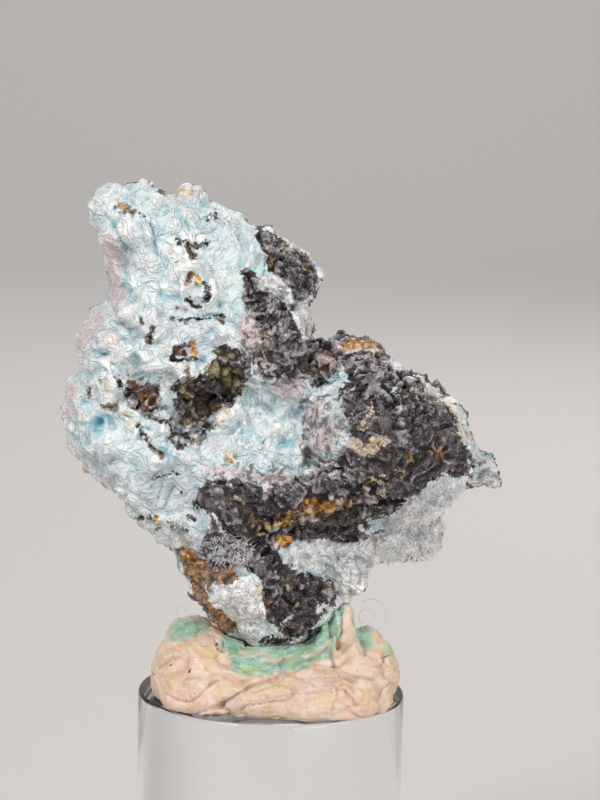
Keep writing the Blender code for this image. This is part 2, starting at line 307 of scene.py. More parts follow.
def drawn(at, areas=(), lines=()):
    """The field of these areas and lines: a half on their edges, up to 1 inside and down to 0 outside."""
    depth = np.full(len(at), -AREA_EDGE)
    for outline in areas:
        here = near_box(at, outline, AREA_EDGE)
        depth[here] = np.maximum(depth[here], area_depth(at[here], outline))
    for half, *line in lines:
        here = near_box(at, line, half + AREA_EDGE)
        depth[here] = np.maximum(depth[here], half - line_distance(at[here], line))
    return np.clip(0.5 + depth / (2 * AREA_EDGE), 0, 1)


# What covers the stone's front, and where shade is painted into its hollows, as outlined areas and as lines
# with their half width
BLACK_AREAS = [
    [(256, 227), (262, 223), (270, 227), (277, 233), (283, 241), (290, 248), (300, 253), (310, 260),
     (317, 270), (319, 281), (315, 291), (308, 299), (301, 303), (295, 300), (290, 291), (284, 283),
     (276, 276), (268, 272), (264, 264), (268, 255), (262, 247), (258, 238)],
    [(241, 268), (250, 268), (259, 275), (262, 283), (254, 284), (257, 296), (257, 308), (250, 311),
     (246, 300), (243, 286)],
    [(256, 290), (268, 292), (278, 296), (286, 306), (290, 316), (298, 326), (304, 336), (314, 341),
     (336, 342), (344, 350), (342, 362), (338, 372), (330, 378), (322, 386), (312, 384), (304, 378),
     (294, 382), (282, 376), (270, 378), (262, 374), (258, 366), (250, 366), (244, 376), (238, 368),
     (236, 356), (246, 352), (256, 352), (262, 342), (258, 330), (256, 318), (254, 306)],
    [(180, 378), (196, 376), (208, 372), (214, 360), (214, 348), (224, 344), (236, 348), (244, 356),
     (252, 368), (246, 382), (236, 392), (230, 398), (236, 404), (228, 408), (216, 410), (208, 418),
     (214, 424), (204, 430), (194, 426), (186, 420), (176, 414), (172, 404), (178, 396), (172, 388)],
    [(346, 352), (366, 350), (380, 356), (386, 366), (403, 372), (420, 380), (424, 394), (436, 402),
     (446, 404), (456, 416), (460, 432), (466, 446), (474, 460), (470, 474), (456, 478), (442, 474),
     (430, 484), (420, 494), (404, 500), (396, 512), (384, 516), (366, 518), (340, 514), (336, 500),
     (318, 490), (300, 480), (306, 474), (318, 466), (334, 460), (344, 452), (346, 444), (350, 430),
     (346, 420), (342, 408), (338, 396), (344, 386), (352, 380), (344, 368), (340, 358)],
    [(204, 480), (222, 479), (240, 478), (252, 485), (264, 490), (276, 484), (290, 480), (302, 476),
     (318, 486), (338, 496), (345, 512), (372, 522), (366, 530), (372, 540), (346, 541), (318, 541),
     (292, 540), (276, 545), (262, 548), (250, 545), (236, 540), (222, 538), (210, 532), (210, 520),
     (206, 510), (196, 506), (199, 497), (202, 488)],
    [(210, 530), (236, 536), (262, 540), (276, 548), (284, 562), (296, 570), (308, 574), (318, 578),
     (330, 580), (336, 592), (334, 604), (326, 612), (320, 620), (310, 632), (298, 640), (288, 640),
     (280, 630), (274, 624), (266, 624), (268, 612), (262, 600), (262, 588), (258, 578), (248, 572),
     (236, 566), (222, 570), (212, 570), (204, 556), (201, 546)],
    [(126, 388), (134, 380), (146, 384), (158, 386), (162, 398), (160, 408), (150, 414), (138, 412),
     (130, 406), (124, 398)],
]
BLACK_LINES = [
    (1.4, (210, 216), (213, 213), (217, 215), (218, 219), (214, 221), (210, 219)),
    (1.7, (219, 221), (224, 223), (229, 226)), (2.4, (188, 241), (198, 243), (206, 241)),
    (2.0, (190, 246), (191, 252), (193, 258)), (2.0, (178, 243), (181, 241)),
    (2.2, (205, 282), (209, 288), (209, 295), (207, 299)),
    (1.8, (188, 298), (191, 305), (199, 307), (204, 302)),
    (1.1, (206, 318), (216, 316), (222, 315), (226, 318)), (1.8, (221, 318), (223, 323)),
    (2.6, (172, 359), (176, 351), (182, 344), (189, 345)),
    (2.2, (174, 360), (184, 360), (192, 358), (200, 359)), (2.8, (117, 379), (120, 386)), (3.6, (127, 395)),
    (2.0, (153, 328), (150, 338)), (1.5, (137, 518), (146, 518), (156, 517)), (2.4, (157, 529)),
    (2.4, (170, 522), (175, 525), (172, 528)), (2.0, (190, 517), (196, 519)), (2.0, (182, 526), (186, 530)),
    (3.2, (195, 505)), (2.6, (200, 491)), (0.9, (151, 484), (155, 478), (160, 475)),
    (0.8, (166, 475), (173, 472), (181, 474)), (0.9, (180, 490)),
    (1.5, (140, 412), (150, 418), (162, 421), (170, 418)), (2.2, (171, 419), (173, 430), (171, 439)),
    (2.2, (176, 434), (188, 432), (202, 431)), (2.6, (178, 447), (187, 444)),
    (1.4, (138, 424), (142, 434), (150, 440)), (2.2, (341, 547), (347, 553)),
    (2.4, (410, 528), (418, 525), (421, 522)), (2.2, (430, 522), (434, 518)),
    (1.6, (374, 534), (385, 532), (393, 529)), (1.8, (445, 503), (452, 496), (459, 491)),
    (2.0, (467, 484), (477, 490), (487, 489)), (2.2, (471, 478), (464, 472)), (1.2, (470, 462), (482, 464)),
    (0.8, (140, 211), (144, 212), (147, 216)), (1.0, (131, 212)), (1.2, (172, 318), (186, 320), (200, 319)),
    (1.3, (394, 359), (399, 358)), (1.0, (286, 243), (290, 247)), (2.2, (262, 640), (276, 641), (290, 641)),
]
OLIVE_AREAS = [
    [(212, 352), (218, 346), (228, 347), (232, 354), (226, 360), (216, 360)],
    [(204, 372), (214, 362), (226, 364), (238, 372), (246, 380), (240, 390), (230, 392), (222, 384),
     (212, 380)],
    [(182, 382), (192, 382), (196, 394), (190, 404), (182, 398)],
    [(246, 520), (258, 516), (268, 524), (266, 534), (254, 536), (246, 530)],
]
OLIVE_LINES = [
    (4.2, (118, 205), (125, 208), (131, 210)), (4.0, (186, 372), (190, 380)), (3.6, (178, 388), (184, 398)),
    (4.0, (190, 414), (200, 418)), (3.4, (232, 384), (238, 392)), (5.0, (222, 352)), (4.0, (237, 500)),
    (4.5, (243, 506)), (3.5, (255, 512)), (3.2, (265, 518), (272, 522)), (3.0, (385, 445)),
    (3.5, (430, 398), (440, 402)), (2.6, (322, 590)), (2.6, (290, 628), (296, 634)), (2.2, (284, 308)),
    (3.0, (292, 308)), (4.0, (205, 410), (196, 398)), (2.4, (400, 384), (408, 390)),
]
BROWN_AREAS = [
    [(173, 549), (184, 546), (198, 551), (206, 561), (213, 571), (227, 569), (238, 572), (239, 580),
     (227, 584), (214, 582), (209, 589), (208, 600), (213, 608), (224, 615), (235, 624), (236, 633),
     (226, 635), (212, 629), (203, 617), (197, 602), (192, 588), (185, 574), (178, 562)],
    [(376, 346), (382, 346), (390, 356), (384, 360), (377, 354)],
    [(205, 404), (216, 398), (222, 404), (216, 412), (206, 414)],
]
BROWN_LINES = [
    (3.4, (132, 384), (138, 388)), (3.4, (146, 394), (152, 400)), (2.8, (140, 404), (146, 410)),
    (2.6, (126, 394)), (2.6, (160, 408)), (3.4, (190, 248), (192, 254)), (2.6, (188, 244), (196, 246)),
    (3.6, (190, 276), (188, 284)), (3.6, (153, 330)), (2.6, (150, 340)), (1.6, (141, 318), (142, 323)),
    (2.6, (187, 323)), (3.4, (178, 350), (184, 352)), (4.2, (134, 385)), (4.2, (140, 398)), (3.6, (152, 403)),
    (3.6, (156, 390)), (2.6, (89, 388), (90, 396)), (3.2, (106, 406), (114, 410)),
    (1.7, (149, 447), (155, 452), (160, 457)), (2.4, (176, 445), (182, 449)), (2.6, (186, 436), (194, 440)),
    (2.8, (182, 424), (188, 420)), (2.6, (226, 570), (232, 574)), (3.0, (178, 558), (186, 570), (190, 580)),
    (1.6, (176, 552), (182, 564)), (2.2, (216, 320), (222, 322)), (2.2, (300, 254), (308, 258)),
    (2.8, (274, 262), (271, 270)), (2.4, (262, 330), (266, 336)), (2.6, (322, 352), (334, 356)),
    (2.8, (306, 366), (312, 372)), (2.2, (407, 362), (415, 370)), (1.5, (424, 376), (434, 384), (444, 396)),
    (1.5, (467, 418), (471, 432), (474, 446)), (2.4, (430, 451), (440, 458), (448, 455)),
    (2.0, (404, 452), (412, 462)), (1.6, (445, 503), (453, 496)), (1.6, (474, 456), (484, 461)),
    (1.8, (497, 474), (499, 480)), (2.0, (375, 545)), (2.2, (342, 503), (350, 502)),
    (1.4, (176, 308), (184, 311)), (1.2, (290, 560), (292, 568)), (1.6, (330, 584), (334, 592)),
    (2.0, (268, 600), (270, 612)), (1.4, (408, 557), (414, 558)), (1.2, (428, 554), (432, 550)),
]
GOLD_AREAS = [
    [(339, 340), (350, 336), (360, 336), (368, 336), (375, 341), (376, 348), (364, 350), (352, 348),
     (341, 349)],
    [(274, 541), (284, 537), (293, 538), (290, 544), (277, 549)],
    [(304, 510), (306, 502), (316, 499), (326, 501), (336, 503), (340, 510), (330, 514), (318, 516),
     (308, 516)],
]
GOLD_LINES = [
    (1.8, (118, 205), (124, 207)), (3.0, (197, 278), (199, 284)), (3.6, (193, 344), (197, 352)),
    (3.0, (227, 458), (229, 461)), (1.8, (280, 516), (290, 514), (300, 509)),
    (2.2, (270, 528), (284, 524), (296, 520)), (1.6, (366, 482), (371, 480)), (1.6, (380, 497), (383, 490)),
    (1.4, (366, 486)), (2.4, (400, 478)), (1.8, (436, 447), (442, 449)), (2.2, (430, 384), (437, 390)),
    (2.6, (325, 368)), (2.6, (156, 523), (158, 519)), (2.4, (184, 554), (192, 560), (198, 570)),
    (2.0, (190, 574), (198, 584)), (2.4, (230, 570), (236, 574)), (2.4, (206, 600), (214, 606), (222, 616)),
    (2.2, (296, 585)), (2.2, (286, 586)), (2.6, (296, 605)), (1.8, (270, 258), (272, 266)),
    (1.8, (303, 268), (309, 268)), (1.6, (316, 280)), (1.6, (224, 420)), (1.6, (98, 382)),
    (1.6, (346, 507), (352, 500)),
]
CREAM_AREAS = [
    [(346, 440), (352, 436), (360, 440), (364, 447), (372, 436), (382, 436), (384, 446), (376, 452),
     (364, 458), (354, 452), (348, 448)],
    [(177, 192), (180, 187), (187, 186), (192, 190), (191, 196), (184, 198), (179, 197)],
    [(456, 428), (464, 430), (469, 438), (462, 441), (457, 436)],
]
CREAM_LINES = [
    (3.2, (370, 406), (372, 414)), (2.6, (366, 418), (362, 428)), (2.4, (383, 440), (388, 444)),
    (4.6, (222, 417)), (3.0, (226, 408), (218, 422)), (2.6, (224, 452), (234, 456), (236, 464)),
    (3.4, (112, 336), (116, 340)), (2.0, (107, 342), (118, 343)), (3.4, (104, 380), (106, 388)),
    (3.6, (128, 376), (134, 374)), (2.8, (120, 402), (128, 414), (132, 424)), (2.4, (144, 404)),
    (2.0, (318, 262), (320, 274)), (2.4, (278, 246), (292, 250)), (2.4, (420, 392), (432, 394)),
    (1.8, (444, 396), (452, 402)), (2.2, (446, 400), (455, 414), (460, 428), (464, 442)),
    (2.4, (300, 514), (312, 520), (322, 520)), (2.8, (336, 500), (340, 504)), (3.4, (310, 508)),
    (1.4, (474, 456), (478, 462)), (2.0, (286, 588)), (2.0, (296, 607)), (2.2, (240, 498)),
    (3.0, (236, 380), (240, 388)), (2.8, (190, 444), (196, 440)), (2.2, (262, 346), (270, 340)),
    (2.0, (330, 362)), (1.8, (176, 522), (180, 532)), (2.4, (180, 540), (188, 546)),
    (1.8, (196, 584), (206, 582)), (2.6, (256, 586), (260, 594)), (2.2, (232, 562), (240, 566)),
    (1.6, (376, 541), (374, 548)),
    (1.3, (364, 488), (366, 495), (373, 499), (381, 497), (384, 489), (381, 482), (372, 480)),
    (1.8, (360, 474), (370, 472), (380, 474)),
    (1.8, (171, 552), (177, 567), (185, 583), (192, 600), (200, 617), (208, 628)),
]
PINK_AREAS = [
    [(171, 196), (172, 187), (181, 181), (191, 182), (198, 187), (201, 196), (191, 201), (178, 201)],
    [(82, 322), (92, 320), (101, 309), (105, 318), (97, 331), (90, 342), (80, 354), (76, 346), (78, 338)],
    [(62, 390), (68, 382), (77, 386), (78, 398), (70, 402)],
    [(60, 410), (68, 404), (74, 410), (70, 418), (62, 418)],
    [(101, 235), (110, 236), (119, 246), (121, 262), (122, 282), (128, 298), (118, 304), (108, 300),
     (112, 290), (107, 278), (103, 256)],
    [(304, 412), (312, 402), (322, 398), (326, 408), (316, 418), (314, 430), (306, 436)],
    [(322, 424), (336, 420), (342, 432), (330, 446), (318, 452), (310, 462), (304, 458), (312, 442)],
    [(268, 384), (280, 380), (296, 384), (308, 382), (306, 392), (290, 396), (274, 396)],
    [(206, 470), (222, 466), (240, 470), (262, 474), (284, 472), (296, 474), (286, 482), (268, 486),
     (250, 480), (226, 476), (208, 478)],
    [(240, 314), (256, 312), (262, 330), (258, 350), (246, 352), (240, 340)],
    [(352, 352), (374, 352), (384, 362), (380, 372), (362, 376), (350, 366)],
]
PINK_LINES = [
    (4.0, (172, 250)), (3.0, (182, 307), (177, 310)), (3.4, (264, 244), (274, 248), (284, 252)),
    (2.8, (156, 386)), (2.6, (200, 470), (208, 466)), (3.0, (216, 470), (226, 474)),
    (2.4, (210, 440), (220, 446)), (3.0, (352, 404), (358, 408)), (2.6, (404, 376), (416, 384), (420, 398)),
    (2.4, (408, 408), (416, 420)), (2.0, (440, 478), (448, 470)), (2.6, (322, 472), (340, 470)),
    (2.4, (360, 467)), (2.2, (452, 462), (462, 470)), (2.2, (408, 512), (420, 516)),
    (2.6, (196, 424), (204, 420)),
]
PALE_AREAS = [
    [(258, 283), (266, 277), (277, 277), (285, 283), (291, 292), (291, 300), (284, 298), (274, 293),
     (262, 293)],
    [(291, 304), (302, 301), (310, 306), (312, 318), (311, 330), (312, 337), (307, 338), (300, 326),
     (293, 314)],
    [(384, 358), (394, 357), (405, 358), (407, 368), (396, 370), (386, 366)],
    [(455, 403), (461, 404), (467, 410), (468, 416), (462, 416), (456, 410)],
    [(480, 462), (490, 464), (496, 474), (494, 486), (484, 488), (478, 478)],
    [(400, 506), (412, 500), (424, 492), (436, 484), (446, 480), (456, 482), (446, 494), (438, 508),
     (426, 516), (408, 517), (400, 512)],
    [(378, 526), (400, 519), (418, 520), (434, 514), (442, 520), (444, 536), (436, 552), (424, 558),
     (398, 558), (380, 556), (370, 544), (372, 536), (392, 532)],
    [(282, 546), (300, 544), (330, 542), (352, 543), (370, 544), (374, 556), (368, 574), (356, 592),
     (346, 602), (338, 600), (336, 586), (328, 576), (312, 572), (298, 568), (286, 558)],
    [(206, 586), (222, 582), (236, 576), (250, 576), (258, 590), (262, 604), (266, 622), (262, 636),
     (248, 640), (240, 632), (232, 620), (218, 604)],
]
PALE_LINES = [
    (3.4, (266, 228), (274, 230), (278, 236)), (2.4, (360, 527), (368, 531)), (2.6, (382, 524), (392, 521)),
    (1.8, (212, 514), (218, 526), (222, 534)), (1.6, (224, 545), (222, 552), (218, 558)),
    (1.4, (232, 538), (228, 548)), (1.2, (214, 538), (218, 548), (216, 558)),
    (1.2, (240, 556), (232, 560), (222, 562)), (1.3, (250, 552), (246, 562)),
    (1.3, (206, 548), (212, 556), (218, 566)), (2.4, (314, 610), (322, 606), (330, 608)),
    (2.4, (284, 622), (292, 614)), (1.6, (312, 560), (318, 568)), (1.8, (340, 382), (330, 388), (320, 396)),
    (1.2, (352, 388), (344, 396), (342, 404)), (1.0, (392, 390), (400, 398), (402, 410)),
    (1.0, (384, 384), (396, 388), (404, 396)), (1.2, (344, 478), (356, 478)), (2.0, (440, 400), (446, 404)),
    (1.8, (466, 492), (476, 494), (484, 490)), (1.6, (460, 484), (472, 480), (484, 484)),
    (1.2, (300, 470), (318, 466), (336, 466)), (1.0, (326, 474), (342, 470), (356, 472)),
    (1.0, (226, 484), (232, 486)),
]
# Blue: the crust's own blue tint in places, and painted shade in its cracks and pits
BLUE_TINT_AND_SHADE_AREAS = [
    [(86, 424), (92, 414), (100, 411), (107, 420), (106, 432), (98, 438), (88, 434), (84, 430)],
    [(158, 441), (166, 444), (171, 452), (169, 460), (162, 458), (155, 448)],
]
BLUE_TINT_AND_SHADE_LINES = [
    (4.0, (82, 400), (90, 406)), (3.2, (90, 378), (96, 370), (104, 368)), (4.6, (148, 428)),
    (3.4, (157, 246), (158, 256)), (3.4, (220, 302), (222, 308)), (4.6, (135, 352)), (3.4, (244, 442)),
    (3.6, (124, 198), (134, 200)), (2.6, (160, 262), (172, 268)), (3.6, (236, 326), (244, 334)),
    (3.4, (126, 284), (132, 294)), (3.0, (254, 242), (254, 256)), (3.4, (164, 226), (160, 236)),
    (3.0, (178, 212), (184, 226)), (3.0, (336, 558), (333, 554)), (3.2, (354, 558), (350, 566)),
    (4.0, (245, 612)), (3.8, (256, 636)), (3.0, (376, 528), (388, 524)), (5.0, (282, 440), (292, 446)),
    (3.4, (250, 430), (262, 438)), (3.0, (296, 388), (310, 386)), (3.0, (106, 462), (102, 470)),
    (3.4, (206, 528), (200, 522)), (3.4, (286, 552), (294, 556)), (3.4, (196, 366), (206, 358)),
    (3.4, (206, 338), (212, 330)), (3.4, (96, 356), (102, 352)), (2.6, (312, 392), (324, 388)),
    (3.0, (176, 458), (160, 466)), (3.0, (74, 432), (84, 446)), (3.0, (160, 510), (174, 512)),
    (2.4, (264, 646), (276, 644)),
]
GREY_AREAS = [
    [(188, 286), (196, 284), (203, 288), (204, 300), (198, 305), (190, 303), (187, 296)],
    [(96, 450), (112, 450), (120, 462), (122, 478), (114, 484), (100, 476), (92, 464)],
    [(134, 468), (160, 462), (190, 460), (200, 476), (196, 500), (176, 514), (150, 514), (138, 494)],
]
GREY_LINES = [
    (4.4, (164, 373)), (4.0, (258, 404), (268, 410)), (3.0, (254, 378), (256, 396)),
    (3.0, (208, 444), (214, 432)), (4.0, (215, 540), (222, 550)), (3.0, (340, 566), (330, 560)),
    (3.2, (112, 284), (116, 296)), (2.6, (196, 320), (200, 326)),
]

MOTTLE_AREAS = [
    [(244, 280), (262, 286), (290, 302), (300, 330), (330, 345), (345, 352), (340, 375), (300, 390),
     (262, 388), (240, 372), (236, 350), (246, 330)],
    [(346, 352), (385, 350), (402, 370), (430, 388), (444, 402), (425, 408), (400, 390), (370, 382),
     (350, 374)],
    [(300, 402), (318, 392), (342, 394), (354, 410), (352, 440), (354, 456), (330, 466), (306, 474),
     (300, 460), (302, 430)],
    [(200, 470), (256, 462), (300, 468), (330, 466), (322, 484), (290, 492), (262, 490), (220, 486),
     (204, 480)],
    [(262, 232), (275, 238), (302, 252), (292, 264), (268, 258)],
    [(122, 380), (160, 378), (172, 410), (150, 422), (128, 412)],
    [(170, 412), (206, 410), (210, 440), (186, 452), (170, 440)],
    [(330, 470), (360, 460), (366, 478), (340, 486), (320, 480)],
    [(205, 540), (240, 540), (266, 556), (256, 572), (220, 566)],
]

# Lobes and knobs of the crust, as (x, y) in the picture, radius in pixels and height in mm
DOMES = [
    (118, 197, 16, 0.3), (104, 196, 12, 0.3), (140, 186, 9, 0.35), (152, 200, 12, 0.25), (126, 219, 17, 0.2),
    (148, 236, 12, 0.5), (138, 258, 13, 0.5), (132, 282, 11, 0.45), (170, 226, 12, 0.25),
    (190, 214, 14, 0.25), (214, 232, 12, 0.25), (232, 226, 13, 0.35), (236, 250, 12, 0.35),
    (212, 252, 10, 0.2), (176, 268, 13, 0.35), (166, 288, 12, 0.45), (150, 304, 12, 0.4),
    (128, 316, 10, 0.35), (112, 328, 9, 0.35), (168, 308, 9, 0.3), (224, 276, 12, 0.3), (228, 296, 9, 0.2),
    (196, 332, 11, 0.3), (212, 340, 9, 0.3), (228, 330, 8, 0.25), (160, 330, 9, 0.35), (136, 334, 8, 0.3),
    (118, 350, 10, 0.4), (150, 356, 10, 0.45), (164, 346, 9, 0.35), (98, 342, 8, 0.3), (104, 362, 11, 0.5),
    (128, 368, 10, 0.45), (150, 370, 9, 0.35), (94, 382, 11, 0.5), (112, 386, 10, 0.5), (78, 396, 9, 0.4),
    (84, 416, 7, 0.3), (118, 410, 9, 0.45), (126, 424, 9, 0.4), (112, 436, 9, 0.3), (88, 446, 9, 0.3),
    (104, 456, 8, 0.45), (112, 470, 10, 0.5), (100, 472, 7, 0.35), (128, 456, 11, 0.3), (140, 476, 12, 0.3),
    (148, 428, 8, 0.6), (163, 432, 8, 0.6), (163, 450, 8, 0.4), (222, 417, 9, 0.7), (196, 440, 8, 0.4),
    (214, 432, 7, 0.4), (228, 458, 5, 0.25), (188, 369, 12, 0.5), (202, 366, 9, 0.3), (222, 352, 7, 0.5),
    (226, 372, 8, 0.5), (240, 380, 7, 0.4), (212, 368, 6, 0.4), (186, 392, 8, 0.4), (214, 394, 9, 0.4),
    (135, 386, 6, 0.4), (146, 396, 7, 0.4), (156, 404, 6, 0.4), (187, 191, 12, 0.5), (272, 230, 9, 0.4),
    (264, 234, 6, 0.4), (288, 252, 8, 0.3), (306, 258, 7, 0.3), (282, 268, 10, 0.3), (314, 274, 7, 0.4),
    (270, 285, 10, 0.4), (304, 320, 10, 0.4), (274, 310, 9, 0.4), (266, 330, 9, 0.35), (286, 334, 9, 0.4),
    (256, 344, 8, 0.3), (300, 352, 9, 0.4), (326, 356, 9, 0.4), (278, 362, 10, 0.4), (308, 372, 8, 0.4),
    (262, 400, 13, 0.3), (284, 410, 13, 0.35), (258, 424, 11, 0.3), (280, 424, 11, 0.3), (246, 446, 11, 0.3),
    (266, 456, 12, 0.3), (352, 342, 7, 0.4), (367, 343, 7, 0.4), (356, 364, 12, 0.5), (394, 364, 9, 0.4),
    (378, 398, 20, 0.6), (352, 398, 9, 0.4), (420, 392, 9, 0.4), (438, 414, 12, 0.5), (418, 420, 10, 0.4),
    (404, 436, 10, 0.3), (446, 438, 9, 0.4), (371, 410, 5, 0.5), (352, 446, 7, 0.4), (374, 446, 8, 0.5),
    (330, 412, 9, 0.3), (322, 446, 9, 0.3), (404, 468, 16, 0.4), (461, 407, 7, 0.5), (488, 475, 9, 0.5),
    (440, 456, 6, 0.4), (310, 508, 7, 0.6), (325, 506, 7, 0.6), (290, 516, 7, 0.4), (244, 490, 9, 0.4),
    (237, 500, 5, 0.5), (245, 506, 5, 0.5), (216, 490, 9, 0.4), (262, 510, 9, 0.4), (210, 506, 7, 0.35),
    (236, 526, 9, 0.4), (258, 530, 9, 0.4), (420, 504, 9, 0.35), (440, 492, 7, 0.3), (424, 538, 11, 0.35),
    (396, 542, 9, 0.3), (350, 566, 9, 0.35), (310, 556, 11, 0.3), (332, 566, 9, 0.3), (352, 588, 7, 0.3),
    (240, 590, 12, 0.35), (226, 594, 9, 0.3), (252, 610, 9, 0.3), (246, 628, 9, 0.35), (296, 586, 5, 0.4),
    (297, 606, 5, 0.4), (286, 587, 4, 0.3), (324, 592, 6, 0.4), (280, 600, 8, 0.35), (308, 612, 7, 0.35),
    (292, 626, 7, 0.35), (172, 524, 5, 0.35), (186, 530, 5, 0.3), (158, 522, 5, 0.35), (180, 496, 12, 0.2),
    (160, 488, 11, 0.2), (190, 556, 7, 0.3), (200, 572, 7, 0.3),
]

# Hollows: the same, with a depth in mm
PITS = [
    (197, 292, 8, 0.6), (186, 352, 7, 0.5), (164, 373, 5, 0.5), (98, 424, 8, 0.9), (205, 402, 13, 1.1),
    (182, 404, 8, 0.7), (157, 252, 5, 0.35), (220, 304, 5, 0.3), (135, 352, 5, 0.25), (307, 271, 4, 0.6),
    (244, 442, 4, 0.3), (286, 440, 6, 0.3), (195, 505, 3.5, 0.5), (200, 490, 3, 0.4), (157, 529, 3, 0.4),
    (119, 382, 3.5, 0.4), (127, 395, 3.5, 0.4), (336, 557, 4, 0.4), (354, 558, 4, 0.4), (245, 612, 5, 0.3),
    (344, 550, 4, 0.3), (372, 490, 5, 0.4), (472, 484, 4, 0.4), (192, 253, 4, 0.25), (148, 427, 3, 0.35),
    (172, 428, 4, 0.5), (186, 436, 5, 0.4), (136, 405, 4, 0.4), (348, 376, 5, 0.4), (382, 370, 5, 0.5),
    (318, 382, 5, 0.4), (256, 372, 6, 0.4), (244, 362, 5, 0.4), (430, 446, 6, 0.4), (352, 500, 6, 0.5),
    (322, 530, 6, 0.4), (282, 532, 6, 0.4), (262, 550, 6, 0.4), (276, 580, 6, 0.4), (300, 596, 5, 0.4),
    (290, 636, 6, 0.5), (270, 622, 5, 0.4), (164, 444, 3, 0.3), (176, 524, 2.5, 0.3), (212, 258, 5, 0.2),
]

